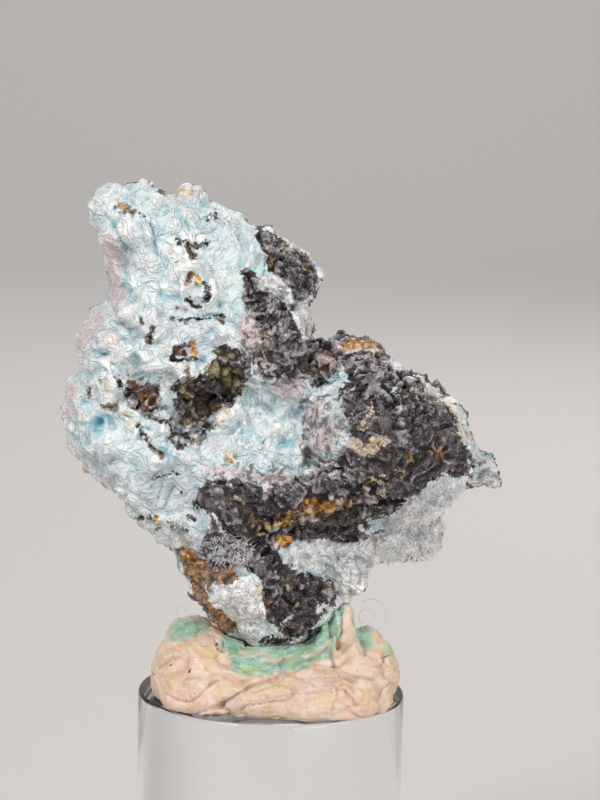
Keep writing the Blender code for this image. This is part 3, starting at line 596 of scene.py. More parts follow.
# Ridges (height over 0) and cracks (under 0), as height in mm, half width in pixels and their line
CREASES = [
    (0.45, 4, (108, 324), (124, 312), (140, 304), (152, 292), (164, 280), (180, 270), (196, 265)),
    (0.40, 4, (92, 352), (108, 340), (124, 330), (138, 320), (152, 316)),
    (0.35, 3, (96, 368), (112, 356), (130, 352), (146, 342), (160, 338)),
    (-0.45, 3, (120, 256), (123, 274), (128, 292), (140, 300)),
    (-0.40, 3, (152, 226), (154, 240), (158, 254), (166, 262), (178, 264)),
    (-0.30, 2.5, (104, 214), (112, 222), (120, 236), (126, 250)),
    (-0.30, 2.5, (112, 196), (126, 198), (136, 203), (144, 196)),
    (-0.25, 2, (160, 206), (172, 204), (184, 208), (190, 220), (190, 234)),
    (-0.20, 1.6, (166, 212), (176, 211), (183, 216), (184, 228)),
    (-0.20, 1.6, (172, 220), (177, 220), (178, 228)), (-0.20, 1.6, (206, 264), (212, 268), (214, 278)),
    (0.40, 3, (184, 274), (190, 267), (202, 267), (211, 274), (214, 286), (212, 300), (204, 310)),
    (0.35, 3, (182, 280), (181, 294), (186, 306)),
    (-0.30, 2.5, (186, 318), (204, 318), (222, 315), (232, 322)),
    (-0.30, 2.5, (232, 322), (240, 332), (250, 340)), (-0.25, 2, (196, 238), (206, 232), (216, 228)),
    (-0.30, 2.5, (240, 236), (242, 250), (240, 264)), (0.35, 3, (248, 232), (252, 246), (250, 262)),
    (-0.45, 3, (106, 372), (122, 372), (138, 378), (154, 380), (170, 380)),
    (0.40, 3, (170, 364), (182, 374), (198, 374), (210, 364)),
    (-0.40, 2.5, (172, 360), (186, 361), (202, 358)),
    (0.40, 3, (104, 398), (120, 402), (132, 412), (138, 426), (134, 440)),
    (-0.45, 3, (84, 400), (98, 402), (108, 414), (110, 430)),
    (0.35, 3, (70, 424), (80, 434), (84, 446), (94, 452)),
    (-0.40, 2.5, (140, 422), (142, 436), (152, 444), (166, 462)),
    (0.40, 2.5, (142, 424), (146, 420), (152, 421), (155, 428), (152, 434), (145, 434), (142, 428)),
    (0.35, 3, (154, 462), (168, 466), (178, 456), (188, 450)),
    (-0.35, 2.5, (200, 450), (204, 440), (208, 430)),
    (0.35, 3, (268, 434), (272, 446), (284, 450), (298, 446)),
    (0.35, 3, (262, 412), (272, 428), (290, 430), (302, 424)),
    (-0.30, 2.5, (268, 440), (266, 452), (276, 462), (292, 464)),
    (0.60, 3.5, (340, 384), (322, 394), (308, 406), (303, 424), (302, 446), (300, 464)),
    (-0.50, 3, (336, 380), (318, 390), (304, 402), (298, 420)),
    (0.40, 3, (244, 396), (240, 410), (244, 424), (236, 436)),
    (-0.35, 2.5, (246, 404), (254, 408), (262, 404), (272, 410)),
    (-0.35, 1.5, (151, 485), (155, 478), (161, 475)), (-0.25, 1.4, (160, 486), (158, 494), (154, 506)),
    (-0.20, 1.4, (176, 484), (168, 494), (164, 508)), (-0.20, 1.4, (196, 488), (186, 494), (176, 498)),
    (0.40, 3, (204, 480), (224, 478), (242, 482), (256, 490)),
    (-0.90, 4, (312, 496), (332, 500), (350, 502), (366, 503), (384, 504), (400, 506)),
    (-0.50, 3, (262, 530), (284, 532), (304, 528), (322, 524)), (0.50, 3, (274, 545), (284, 540), (294, 540)),
    (0.45, 3, (268, 526), (286, 522), (302, 516), (316, 516)),
    (-0.60, 3, (300, 544), (330, 542), (352, 542), (368, 540)),
    (0.45, 2.5, (366, 484), (365, 492), (370, 499), (379, 498), (384, 490), (381, 482), (372, 480)),
    (-0.45, 3, (420, 496), (408, 500), (400, 506), (394, 514)),
    (-0.40, 2.5, (374, 536), (388, 534), (402, 528), (420, 526), (436, 516)),
    (0.35, 2.5, (320, 562), (332, 562), (340, 570), (344, 582), (342, 598)),
    (-0.30, 2.5, (314, 566), (328, 570), (336, 582), (338, 596)),
    (-0.30, 2.5, (348, 562), (352, 574), (348, 590)), (0.35, 2.5, (372, 560), (366, 574), (356, 590)),
    (-0.45, 3, (204, 580), (222, 580), (238, 576), (252, 574)),
    (0.35, 3, (194, 548), (200, 560), (206, 574), (214, 580)),
    (-0.40, 3, (196, 584), (206, 594), (218, 606), (230, 622), (236, 632)),
    (0.35, 2, (212, 512), (220, 524), (226, 536), (222, 550)),
    (0.30, 2, (204, 540), (212, 550), (222, 560), (236, 562)), (0.30, 2, (240, 540), (236, 552), (230, 560)),
    (0.40, 2.5, (246, 268), (256, 276), (254, 290), (256, 304)),
    (0.50, 3, (256, 286), (262, 279), (274, 277), (284, 283), (291, 293), (292, 302)),
    (-0.45, 3, (258, 295), (270, 294), (282, 300), (288, 308)),
    (-0.40, 2.5, (262, 246), (270, 252), (264, 262), (262, 272)),
    (-0.45, 3, (286, 286), (294, 296), (298, 304)), (0.40, 3, (340, 350), (352, 351), (366, 351), (378, 355)),
    (-0.50, 3, (336, 352), (338, 364), (336, 376), (342, 382)),
    (0.35, 2, (352, 392), (358, 382), (372, 378), (388, 380), (400, 390), (404, 404), (398, 416)),
    (-0.35, 1.8, (358, 396), (364, 387), (376, 384), (388, 388), (396, 398), (396, 408)),
    (0.35, 1.8, (364, 400), (370, 392), (380, 391), (389, 397), (391, 407)),
    (-0.30, 1.6, (370, 402), (377, 397), (384, 401), (386, 409)),
    (-0.50, 3, (404, 372), (408, 384), (406, 400), (404, 416), (398, 424)),
    (-0.40, 2.5, (424, 384), (420, 396), (428, 406)),
    (0.40, 2.5, (306, 474), (322, 468), (340, 466), (356, 470)),
    (0.30, 2, (312, 482), (330, 476), (348, 476), (364, 480)),
    (-0.35, 2, (308, 478), (326, 472), (344, 471), (360, 475)),
    (0.35, 2.5, (446, 402), (456, 416), (464, 432), (470, 448), (476, 460)),
]

# The stone's skin: how fine it is made in mm, and how many triangles are kept of it
STONE_GRAIN = 0.15
STONE_FACES = 192000

# The areas and lines of each of its fields
STONE_DRAWINGS = {
    "black": (BLACK_AREAS, BLACK_LINES),
    "pale": (PALE_AREAS, PALE_LINES),
    "olive": (OLIVE_AREAS, OLIVE_LINES),
    "brown": (BROWN_AREAS, BROWN_LINES),
    "gold": (GOLD_AREAS, GOLD_LINES),
    "cream": (CREAM_AREAS, CREAM_LINES),
    "pink": (PINK_AREAS, PINK_LINES),
    "blue": (BLUE_TINT_AND_SHADE_AREAS, BLUE_TINT_AND_SHADE_LINES),
    "grey": (GREY_AREAS, GREY_LINES),
    "mottle": (MOTTLE_AREAS, []),
}

# How much the noise that makes the fields of the stone's back is strengthened
BACK_CONTRAST = 1.7

# The crumpled oxide's rims, as their size and height in mm
FOIL_RIMS = [(3.6, 0.5), (1.9, 0.42), (1.0, 0.24)]

# How often a skin is evened out before its relief is made, and to find the directions that forms, small
# relief and the sight line are measured by
STONE_EVENING = 30
PUTTY_EVENING = 25
FORM_EVENING = 10
RELIEF_EVENING = 4
FACING_EVENING = 40

# How often it is evened out to find its broad relief and its fine relief, and how strongly each time
BROAD_EVENING = 75
FINE_EVENING = 8
EVENING_SHARE = 0.8


def smooth_facing(points, edges, triangles):
    """How much each point faces the camera, from 0 at the outline to 1, with the small relief left out."""
    broad = normals(relaxed(points, edges, FACING_EVENING), triangles)
    ray = CAMERA_AT - points
    ray /= np.linalg.norm(ray, axis=1, keepdims=True)
    return step_up((broad * ray).sum(axis=1), -0.02, 0.22)


def stacked(at, forms):
    """The height of the highest form over each place, for forms given as (x, y, radius, height)."""
    height = np.zeros(len(at))
    for x, y, radius, high in forms:
        here = near_box(at, [(x, y)], radius)
        distance = np.linalg.norm(at[here] - (x, y), axis=1) / radius
        height[here] = np.maximum(height[here], high * np.clip(1 - distance**2, 0, 1) ** 1.8)
    return height


def creased(at, creases):
    """The heights of ridges and cracks along their lines."""
    height = np.zeros(len(at))
    for high, half, *line in creases:
        here = near_box(at, line, 3 * half)
        distance = line_distance(at[here], line) / half
        height[here] += high * np.exp(-(distance**2))
    return height


def crust_relief(points):
    """Waxy crust: puffy folds that flow into each other, with small lumps and fine wrinkles in places."""
    lively = step_up(wavy(points, 5.0, 15), -0.3, 0.4)
    bent = wandering(wandering(points, 4.0, 1.3, 11), 1.6, 0.45, 12)
    folds = np.abs(wavy(bent, 2.6, 21))
    small = np.abs(wavy(wandering(points, 1.2, 0.4, 31), 1.05, 22))
    tiny = np.abs(wavy(wandering(points, 0.7, 0.2, 41), 0.5, 23))
    swells = 0.3 * wavy(points, 3.4, 17)
    wrinkles = np.abs(wavy(wandering(points, 1.4, 0.6, 71), 0.7, 72))
    height = swells + 0.7 * np.minimum(folds, 0.6) + (0.06 + 0.3 * lively) * np.minimum(small, 0.6)
    height = 0.8 * height + 0.1 * lively * tiny
    return height - 0.07 * (1 - step_up(wrinkles, 0, 0.12)) - 0.12


def foil_relief(points):
    """Crumpled oxide: facets that tilt each their own way, and sharp sinuous rims that fold between them."""
    bent = wandering(wandering(points, 3.4, 1.2, 80), 1.3, 0.45, 81)
    _, gap, mark, plane = scattered(bent, 2.6, 91)
    height = 0.65 * plane + 0.35 * mark + 0.25 * step_up(gap, 0, 0.12)
    _, gap, mark, plane = scattered(wandering(points, 0.9, 0.3, 83), 1.1, 93)
    height += 0.1 * plane + 0.08 * mark
    for size, high in FOIL_RIMS:
        rim = 1 - np.abs(wavy(bent * np.array([1.0, 1.0, 1.5]), size, int(size * 100)))
        height += high * (rim**9 - 0.2)
    return height - 0.3


def pebble_relief(points):
    """The cave's matrix: rounded grains with deep gaps."""
    _, gap, mark, _ = scattered(wandering(points, 1.2, 0.3, 401), 1.25, 411)
    _, small, _, _ = scattered(wandering(points, 0.7, 0.2, 403), 0.6, 413)
    return (0.7 * mark + 0.5) * np.sqrt(np.clip(gap, 0, 1)) + 0.16 * small - 0.45


def stone_fields(points, facing):
    """What covers the stone at each point, as fields from 0 to 1 with their edges at a half."""
    at = picture(wandering(wandering(wandering(points, 2.2, 0.3, 101), 0.9, 0.2, 111), 0.4, 0.08, 115))
    x, _, z = points.T
    patches = wavy(points, 9.0, 121)
    small = wavy(points, 3.0, 131)
    right = step_up(x, -2, 14)
    foot = 1 - step_up(z, 50, 60)
    back = {
        "black": 0.36 + 0.55 * patches + 0.3 * small + 0.18 * right + 0.12 * foot,
        "pale": np.zeros(len(points)),
        "olive": 0.12 + 0.5 * wavy(points, 5.0, 141),
        "brown": 0.2 + 0.5 * wavy(points, 7.0, 151) + 0.25 * foot + 0.16 * right + 0.2 * small,
        "gold": 0.08 + 0.6 * wavy(points, 4.0, 161) + 0.1 * right,
        "cream": 0.25 + 0.45 * wavy(points, 4.5, 171),
        "pink": 0.42 + 0.5 * wavy(points, 8.0, 181) - 0.1 * right,
        "blue": 0.3 + 0.45 * wavy(points, 6.0, 191) - 0.1 * right,
        "grey": 0.3 + 0.5 * wavy(points, 6.5, 201),
        "mottle": 0.4 + 0.5 * wavy(points, 5.0, 211),
    }
    share = np.clip(facing + 0.25 * small * (facing < 1) * (facing > 0), 0, 1)
    fields = {}
    for name, (areas, lines) in STONE_DRAWINGS.items():
        behind = np.clip(0.5 + BACK_CONTRAST * (back[name] - 0.5), 0, 1)
        fields[name] = share * drawn(at, areas, lines) + (1 - share) * behind
    return fields


def raised(points, edges, triangles, height, times):
    """The points moved out by their heights, square to the skin evened out this many times."""
    return points + height[:, None] * normals(relaxed(points, edges, times), triangles)


def height_over(points, edges, normal, times):
    """How high each point stands over the skin evened out this many times."""
    return ((points - relaxed(points, edges, times, EVENING_SHARE)) * normal).sum(axis=1)


def make_stone():
    """The stone's skin: its solid evened out, its named forms and small relief added, and its fields."""
    points, edges, triangles = fine_skin("gibbsite_stone", STONE_GRAIN)
    points = relaxed(points, edges, STONE_EVENING)
    facing = smooth_facing(points, edges, triangles)
    smooth = points
    at = picture(wandering(wandering(points, 3.2, 0.5, 1), 1.4, 0.25, 5))
    named = 0.8 * stacked(at, DOMES) - stacked(at, PITS) + creased(at, CREASES)
    points = raised(points, edges, triangles, 1.2 * facing * named, FORM_EVENING)
    fields = stone_fields(points, facing)
    black = step_up(fields["black"], 0.4, 0.6) * (1 - step_up(fields["pale"], 0.4, 0.6))
    stained = step_up(np.maximum(fields["olive"], np.maximum(fields["gold"], fields["brown"])), 0.3, 0.5)
    height = (1 - stained) * ((1 - black) * crust_relief(smooth) + black * foil_relief(smooth))
    height += stained * pebble_relief(smooth)
    points = relaxed(raised(points, edges, triangles, height, RELIEF_EVENING), edges, 1)
    normal = normals(points, triangles)
    fields = stone_fields(points, facing)
    fields["broad"] = height_over(points, edges, normal, BROAD_EVENING)
    fields["fine"] = height_over(points, edges, normal, FINE_EVENING)
    return thinned("stone_skin", points, triangles, fields, STONE_FACES, 1 - 0.6 * facing)


# The putty's skin, as the stone's, and the height of the rod's top that it lies on
PUTTY_GRAIN = 0.15
PUTTY_FACES = 90000
PUTTY_FOOT = 40.0

# What covers the putty's front, with shade painted along its creases, and its forms
MINT_AREAS = [
    [(168, 632), (172, 624), (180, 618), (192, 617), (206, 622), (207, 632), (196, 636), (182, 638),
     (172, 642)],
    [(222, 636), (232, 634), (246, 643), (262, 646), (282, 644), (300, 641), (312, 632), (322, 620),
     (336, 606), (346, 602), (344, 622), (340, 640), (332, 654), (318, 662), (304, 668), (290, 670),
     (272, 674), (252, 676), (238, 672), (228, 662), (222, 650)],
    [(350, 620), (358, 618), (370, 622), (371, 634), (372, 646), (362, 650), (354, 640), (350, 630)],
    [(384, 638), (390, 642), (394, 652), (388, 656), (383, 648)],
]
BEIGE_AREAS = [
    [(343, 602), (349, 610), (353, 626), (360, 644), (370, 662), (384, 680), (366, 690), (346, 684),
     (334, 670), (338, 652), (344, 632), (342, 616)],
]
BEIGE_LINES = [
    (1.6, (330, 640), (320, 650), (306, 658)), (1.4, (262, 660), (276, 662), (292, 656)),
    (1.8, (240, 652), (252, 656), (262, 652)),
]
LIME_LINES = [
    (4.0, (244, 668), (256, 672)), (2.6, (386, 646), (391, 654)), (2.2, (288, 664), (296, 658)),
    (2.0, (300, 652), (310, 644)),
]
# Mauve along the creases of the putty's front: painted shade
MAUVE_CREASE_SHADE_LINES = [
    (1.2, (222, 705), (236, 694), (252, 686), (268, 680), (283, 672)),
    (1.2, (330, 650), (334, 662), (340, 672), (356, 678), (374, 680)),
    (1.2, (345, 690), (350, 698), (356, 706)), (1.0, (160, 668), (170, 660), (182, 656)),
    (1.0, (260, 700), (290, 694), (316, 692)), (1.0, (362, 664), (372, 668), (384, 664)),
]
DIRT_LINES = [
    (1.1, (216, 646), (219, 643)), (0.8, (217, 649)), (0.6, (225, 636), (227, 634)),
    (0.7, (170, 667), (172, 665)), (0.5, (168, 670)), (0.5, (189, 672), (191, 670)), (0.5, (186, 700)),
    (0.6, (189, 694)), (0.5, (385, 685)), (0.4, (200, 660), (202, 659)), (0.4, (374, 690)),
]
PUTTY_DOMES = [
    (172, 650, 18, 0.6), (200, 646, 20, 0.5), (170, 676, 18, 0.5), (196, 690, 20, 0.4), (226, 680, 18, 0.4),
    (258, 694, 26, 0.5), (300, 690, 26, 0.4), (330, 700, 20, 0.4), (372, 664, 16, 0.6), (388, 678, 14, 0.4),
    (362, 690, 18, 0.4), (240, 712, 16, 0.3), (356, 650, 14, 0.5), (384, 650, 10, 0.4), (190, 626, 12, 0.4),
]
PUTTY_CREASES = [
    (-0.5, 2.5, (222, 705), (236, 694), (252, 686), (268, 680), (283, 672)),
    (-0.5, 2.5, (330, 650), (334, 662), (340, 672), (356, 678), (374, 680)),
    (-0.4, 2.5, (345, 690), (350, 698), (356, 706)),
    (0.6, 4.0, (345, 600), (348, 620), (350, 640), (356, 662)),
    (0.4, 5.0, (350, 636), (352, 660), (360, 680)),
    (0.4, 2.2, (336, 608), (338, 626), (334, 644), (322, 658)),
    (0.4, 2.2, (326, 618), (326, 634), (318, 648), (304, 656)),
    (-0.5, 2.2, (342, 612), (343, 630), (338, 648)), (-0.4, 2.2, (331, 616), (331, 634), (324, 650)),
    (0.35, 2.5, (222, 652), (240, 660), (262, 660), (284, 652)),
    (-0.35, 2.5, (216, 640), (226, 654), (246, 668), (268, 668)),
    (0.4, 2.5, (352, 642), (356, 656), (364, 668), (372, 672)),
    (-0.4, 2.5, (358, 642), (366, 656), (376, 662)), (-0.4, 2.5, (384, 656), (380, 666), (384, 678)),
    (-0.35, 2.2, (186, 640), (196, 652), (210, 656)), (-0.35, 2.2, (160, 668), (172, 660), (186, 660)),
    (-0.3, 2.2, (206, 668), (222, 676), (240, 680)),
]
PUTTY_DRAWINGS = {
    "mint": (MINT_AREAS, []),
    "beige": (BEIGE_AREAS, BEIGE_LINES),
    "lime": ([], LIME_LINES),
    "mauve": ([], MAUVE_CREASE_SHADE_LINES),
    "dirt": ([], DIRT_LINES),
}


def kneaded(points):
    """The putty's folds: streaks drawn out along the lump and bent by the fingers, with pinched creases."""
    bent = wandering(points, 7.0, 2.6, 301)
    drawn_out = bent * np.array([0.45, 0.45, 1.0])
    streaks = wavy(drawn_out, 1.5, 311)
    pinch = 1 - np.abs(wavy(drawn_out, 3.0, 321))
    return 0.16 * streaks + 0.08 * wavy(points, 0.6, 331) - 0.35 * step_up(pinch, 0.85, 1.0)


def make_putty():
    """The putty's skin, made as the stone's is, and set down flat on the rod."""
    points, edges, triangles = fine_skin("mounting_putty", PUTTY_GRAIN)
    points = relaxed(points, edges, PUTTY_EVENING)
    facing = smooth_facing(points, edges, triangles)
    at = picture(wandering(points, 1.6, 0.12, 2))
    named = stacked(at, PUTTY_DOMES) + creased(at, PUTTY_CREASES)
    points = raised(points, edges, triangles, facing * named, FORM_EVENING)
    points = raised(points, edges, triangles, 0.1 + kneaded(points), RELIEF_EVENING)
    low = 1 - step_up(points[:, 2], PUTTY_FOOT + 0.4, PUTTY_FOOT + 1.6)
    points[:, 2] = np.maximum(points[:, 2] - 0.3 * low, PUTTY_FOOT + 0.03)
    at = picture(wandering(points, 1.6, 0.2, 3))
    high = step_up(points[:, 2], 44, 49)
    behind = {
        "mint": np.clip(0.15 + 0.5 * high + 0.6 * wavy(points * np.array([0.5, 0.5, 1.0]), 3.0, 341), 0, 1),
        "beige": np.clip(0.2 + 0.5 * wavy(points, 3.0, 351), 0, 1),
        "lime": np.clip(0.1 + 0.55 * wavy(points, 4.0, 361), 0, 1),
        "mauve": np.clip(0.2 + 0.5 * wavy(points, 2.0, 371), 0, 0.6),
        "dirt": np.clip(0.6 * wavy(points, 0.8, 381) - 0.06, 0, 1),
    }
    fields = {}
    for name, (areas, lines) in PUTTY_DRAWINGS.items():
        fields[name] = facing * drawn(at, areas, lines) + (1 - facing) * behind[name]
    fields["broad"] = height_over(points, edges, normals(points, triangles), BROAD_EVENING)
    return thinned("putty_lump", points, triangles, fields, PUTTY_FACES)


# Fine crystals on the crust and lint caught on the putty, both as small closed solids

FUZZ_SEED = 5

# Sizes of the crystals in mm: their length, their radius, how deep they root and how far they stray
FUZZ_LENGTHS = (0.5, 1.3)
FUZZ_RADII = (0.05, 0.09)
FUZZ_ROOT = 0.08
FUZZ_STRAY = 0.1

# Where the crystals stand: how many, how far they lean, and the outlined area
FUZZ_PATCHES = [
    (700, 0.9,
     [(398, 507), (410, 500), (420, 494), (430, 485), (440, 480), (455, 483), (462, 485), (455, 495),
      (445, 505), (438, 512), (425, 518), (410, 520), (400, 515)]),
    (1000, 0.9,
     [(380, 530), (398, 524), (420, 520), (440, 517), (442, 530), (438, 542), (432, 556), (420, 558),
      (400, 560), (385, 562), (378, 556), (375, 545)]),
    (420, 1.6, [(208, 538), (226, 534), (246, 540), (256, 550), (248, 563), (228, 566), (213, 560)]),
]

# The fibres' radius in mm, the sides of their tubes and the steps from one of their places to the next
LINT_RADIUS = 0.035
LINT_SIDES = 5
LINT_STEPS = 8

# Each fibre's places in the picture, the first of them where it sticks to the putty
LINT = [
    [(370, 632), (382, 626), (387, 615), (382, 604), (372, 599), (362, 602)],
    [(365, 630), (359, 618), (363, 610), (371, 611), (375, 617)],
    [(188, 622), (180, 618), (177, 610), (182, 606), (187, 611)],
]

# How many of the skin's points near a fibre's first place are looked through for the foremost one
LINT_NEAREST = 40


def solid_object(name, points, faces):
    """An object in metres of the points in mm."""
    mesh = bpy.data.meshes.new(name)
    mesh.from_pydata((np.array(points) * MM).tolist(), [], faces)
    mesh.validate()
    return linked(name, mesh)


def across(direction):
    """Two directions square to this one and to each other."""
    helper = np.eye(3)[np.argmin(np.abs(direction))]
    first = np.cross(direction, helper)
    first /= np.linalg.norm(first)
    return first, np.cross(direction, first)


def make_fuzz(stone):
    """Short crystals that stand on the crust, each a thin pyramid on three sides."""
    skin, _, triangles = arrays(stone.data)
    normal = normals(skin, triangles)
    at = picture(skin)
    near = ((CAMERA_AT - skin) * normal).sum(axis=1) > 0
    chance = np.random.default_rng(FUZZ_SEED)
    points = []
    faces = []
    for count, lean, outline in FUZZ_PATCHES:
        roots = np.flatnonzero(near & (area_depth(at, outline) > 0))
        for root in chance.choice(roots, count):
            direction = normal[root] + lean * chance.uniform(-1, 1, 3)
            direction /= np.linalg.norm(direction)
            first, second = across(direction)
            radius = chance.uniform(*FUZZ_RADII)
            base = skin[root] - FUZZ_ROOT * normal[root] + chance.uniform(-FUZZ_STRAY, FUZZ_STRAY, 3)
            start = len(points)
            for corner in range(3):
                angle = 2 * math.pi * corner / 3
                points.append(base + radius * (math.cos(angle) * first + math.sin(angle) * second))
            points.append(base + chance.uniform(*FUZZ_LENGTHS) * direction)
            faces += [(start, start + 2, start + 1)]
            faces += [(start + i, start + (i + 1) % 3, start + 3) for i in range(3)]
    return solid_object("crystal_fuzz", points, faces)


def curve_through(places):
    """Many points along a smooth curve through the places."""
    places = np.array([2 * places[0] - places[1], *places, 2 * places[-1] - places[-2]])
    path = []
    for a, b, c, d in zip(places, places[1:], places[2:], places[3:]):
        for t in np.arange(LINT_STEPS) / LINT_STEPS:
            path.append(b + 0.5 * t * (c - a + t * (2 * a - 5 * b + 4 * c - d + t * (3 * b - a - 3 * c + d))))
    return np.array([*path, places[-2]])


def make_lint(putty):
    """Loose fibres, each a thin closed tube."""
    skin, _, _ = arrays(putty.data)
    at = picture(skin)
    points = []
    faces = []
    for line in LINT:
        near = skin[np.argsort(np.linalg.norm(at - line[0], axis=1))[:LINT_NEAREST]]
        foot = near[np.argmin(near[:, 1])]
        path = curve_through([foot, *(point_at(x, y, foot[1]) for x, y in line[1:])])
        start = len(points)
        for place, along in zip(path, np.gradient(path, axis=0)):
            first, second = across(along / np.linalg.norm(along))
            for side in range(LINT_SIDES):
                angle = 2 * math.pi * side / LINT_SIDES
                points.append(place + LINT_RADIUS * (math.cos(angle) * first + math.sin(angle) * second))
        for ring in range(len(path) - 1):
            for side in range(LINT_SIDES):
                here = start + ring * LINT_SIDES + side
                beside = start + ring * LINT_SIDES + (side + 1) % LINT_SIDES
                faces.append((here, beside, beside + LINT_SIDES, here + LINT_SIDES))
        faces.append(tuple(start + side for side in reversed(range(LINT_SIDES))))
        faces.append(tuple(len(points) - LINT_SIDES + side for side in range(LINT_SIDES)))
    return solid_object("lint", points, faces)


# The rod, in mm
ROD_RADIUS = 15.0
ROD_TOP = 40.0
ROD_SIDES = 256
ROD_EDGE = 0.35


def lathed(name, profile, sides):
    """A closed solid of revolution, from (radius, height) pairs in mm that start and end on its axis, Z."""
    angles = np.linspace(0, 2 * math.pi, sides, endpoint=False)
    points = [(0, 0, profile[0][1])]
    for radius, height in profile[1:-1]:
        points += [(radius * math.cos(a), radius * math.sin(a), height) for a in angles]
    points.append((0, 0, profile[-1][1]))
    last = len(points) - 1
    rings = len(profile) - 2
    faces = []
    for i in range(sides):
        j = (i + 1) % sides
        faces.append((0, 1 + j, 1 + i))
        for ring in range(rings - 1):
            below, above = 1 + ring * sides, 1 + (ring + 1) * sides
            faces.append((below + i, below + j, above + j, above + i))
        top = 1 + (rings - 1) * sides
        faces.append((top + i, top + j, last))
    return solid_object(name, points, faces)


def make_rod():
    """The clear rod, with its sharp edges barely rounded."""
    turn = [math.radians(a) for a in (0, 22.5, 45, 67.5, 90)]
    inner = ROD_RADIUS - ROD_EDGE
    lower = [(inner + ROD_EDGE * math.sin(a), ROD_EDGE - ROD_EDGE * math.cos(a)) for a in turn]
    upper = [(inner + ROD_EDGE * math.cos(a), ROD_TOP - ROD_EDGE + ROD_EDGE * math.sin(a)) for a in turn]
    rod = lathed("rod_glass", [(0, 0), *lower, *upper, (0, ROD_TOP)], ROD_SIDES)
    rod.data.shade_smooth()
    rod.data.set_sharp_from_angle(angle=math.radians(50))
    return rod


# Materials

# Sockets of the Mix node, whose names aren't unique
MIX_SHARE = 0
MIX_VALUES = (2, 3)
MIX_COLOURS = (6, 7)
MIX_COLOUR_OUT = 2

# Limonite over the stone: its field, how ragged its edge is, how much painted shade and light its fine relief
# gives it, how strongly it covers, and its colours from the shaded hollows to the lit crests
STAINS = [
    ("brown", 1.4, 0.5, 0.9, [(0.38, (56, 34, 20)), (0.49, (128, 82, 42)), (0.62, (190, 142, 84))]),
    ("olive", 2.2, 0.9, 0.85, [(0.38, (40, 30, 20)), (0.5, (114, 94, 54)), (0.64, (190, 176, 130))]),
    ("gold", 1.2, 0.7, 0.9,
     [(0.36, (84, 44, 10)), (0.47, (190, 116, 26)), (0.56, (226, 164, 60)), (0.68, (246, 214, 130))]),
    ("cream", 1.9, 0.6, 0.85,
     [(0.38, (134, 106, 78)), (0.46, (214, 192, 146)), (0.54, (240, 228, 206)), (0.66, (244, 222, 216))]),
]


def tint(red, green, blue):
    """A colour from its 0 to 255 values on screen."""
    linear = [((c / 255 + 0.055) / 1.055) ** 2.4 if c > 10 else c / 3295 for c in (red, green, blue)]
    return (*linear, 1.0)


def plug(tree, node, inputs):
    """Gives a node's inputs their values, or links them to other nodes' outputs."""
    for key, value in inputs.items():
        if isinstance(value, bpy.types.NodeSocket):
            tree.links.new(value, node.inputs[key])
        else:
            node.inputs[key].default_value = value


def put(tree, kind, inputs=None, output=0, **settings):
    """Adds a node with these settings and inputs, and gives one of its outputs."""
    node = tree.nodes.new("ShaderNode" + kind)
    for key, value in settings.items():
        setattr(node, key, value)
    plug(tree, node, inputs or {})
    return node.outputs[output]


def sums(tree, operation, a, b=0.0, c=0.0):
    return put(tree, "Math", {0: a, 1: b, 2: c}, operation=operation)


def times(tree, a, b):
    return sums(tree, "MULTIPLY", a, b)


def highest(tree, first, *others):
    for other in others:
        first = sums(tree, "MAXIMUM", first, other)
    return first


def centred(tree, value):
    """The value less a half."""
    return sums(tree, "SUBTRACT", value, 0.5)


def added(tree, base, *parts):
    """The base with each part times its amount added to it, from (part, amount) pairs."""
    for part, amount in parts:
        base = sums(tree, "MULTIPLY_ADD", part, amount, base)
    return base


def spread(tree, value, low, high, to_low=0.0, to_high=1.0):
    """The value's range from low to high, eased onto another range."""
    inputs = {"Value": value, "From Min": low, "From Max": high, "To Min": to_low, "To Max": to_high}
    return put(tree, "MapRange", inputs, interpolation_type="SMOOTHSTEP")


def mixed(tree, share, base, over):
    """Two colours mixed, each a colour or a node's output."""
    inputs = {MIX_SHARE: share, MIX_COLOURS[0]: base, MIX_COLOURS[1]: over}
    return put(tree, "Mix", inputs, MIX_COLOUR_OUT, data_type="RGBA")


def mixed_value(tree, share, base, over):
    return put(tree, "Mix", {MIX_SHARE: share, MIX_VALUES[0]: base, MIX_VALUES[1]: over}, data_type="FLOAT")


def overlaid(tree, colour, *overlays):
    """The colour with others laid over it in turn, from (share, colour on screen) pairs."""
    for share, over in overlays:
        colour = mixed(tree, share, colour, tint(*over))
    return colour


def ramp(tree, value, *stops):
    """A colour for the value, from (place, colour on screen) stops."""
    node = tree.nodes.new("ShaderNodeValToRGB")
    tree.links.new(value, node.inputs[0])
    elements = node.color_ramp.elements
    while len(elements) < len(stops):
        elements.new(0.5)
    for element, (place, colour) in zip(elements, stops):
        element.position = place
        element.color = tint(*colour)
    return node.outputs[0]


def noise(tree, place, size, detail=3.0, roughness=0.55, distortion=0.0):
    """Cloudy noise around a half, with clouds of about this size in mm."""
    inputs = {"Vector": place, "Scale": 1 / size, "Detail": detail, "Roughness": roughness}
    return put(tree, "TexNoise", {**inputs, "Distortion": distortion})


def fold_lines(tree, place, size, roughness, distortion):
    """How far smooth noise is from a half, which is 0 along sinuous lines."""
    return sums(tree, "ABSOLUTE", centred(tree, noise(tree, place, size, 1.0, roughness, distortion)))


def bumped(tree, height, depth, strength):
    """Small relief of this depth in mm, for a shader's Normal."""
    return put(tree, "Bump", {"Strength": strength, "Distance": depth * MM, "Height": height})


def field(tree, name):
    """The field of this name that is kept on the mesh."""
    return put(tree, "Attribute", output="Fac", attribute_name=name)


def material_start(name):
    """A new material, its nodes, its shader and the place on the object in mm."""
    material = bpy.data.materials.new(name)
    material.use_nodes = True
    tree = material.node_tree
    metres = put(tree, "TexCoord", output="Object")
    place = put(tree, "VectorMath", {0: metres, "Scale": 1 / MM}, operation="SCALE")
    return material, tree, tree.nodes["Principled BSDF"], place


def covers(tree, name, ragged, rag, soft=0.05):
    """Where a field is over a half, with an edge frayed by the noise."""
    frayed = added(tree, field(tree, name), (centred(tree, rag), ragged))
    return spread(tree, frayed, 0.5 - soft, 0.5 + soft)


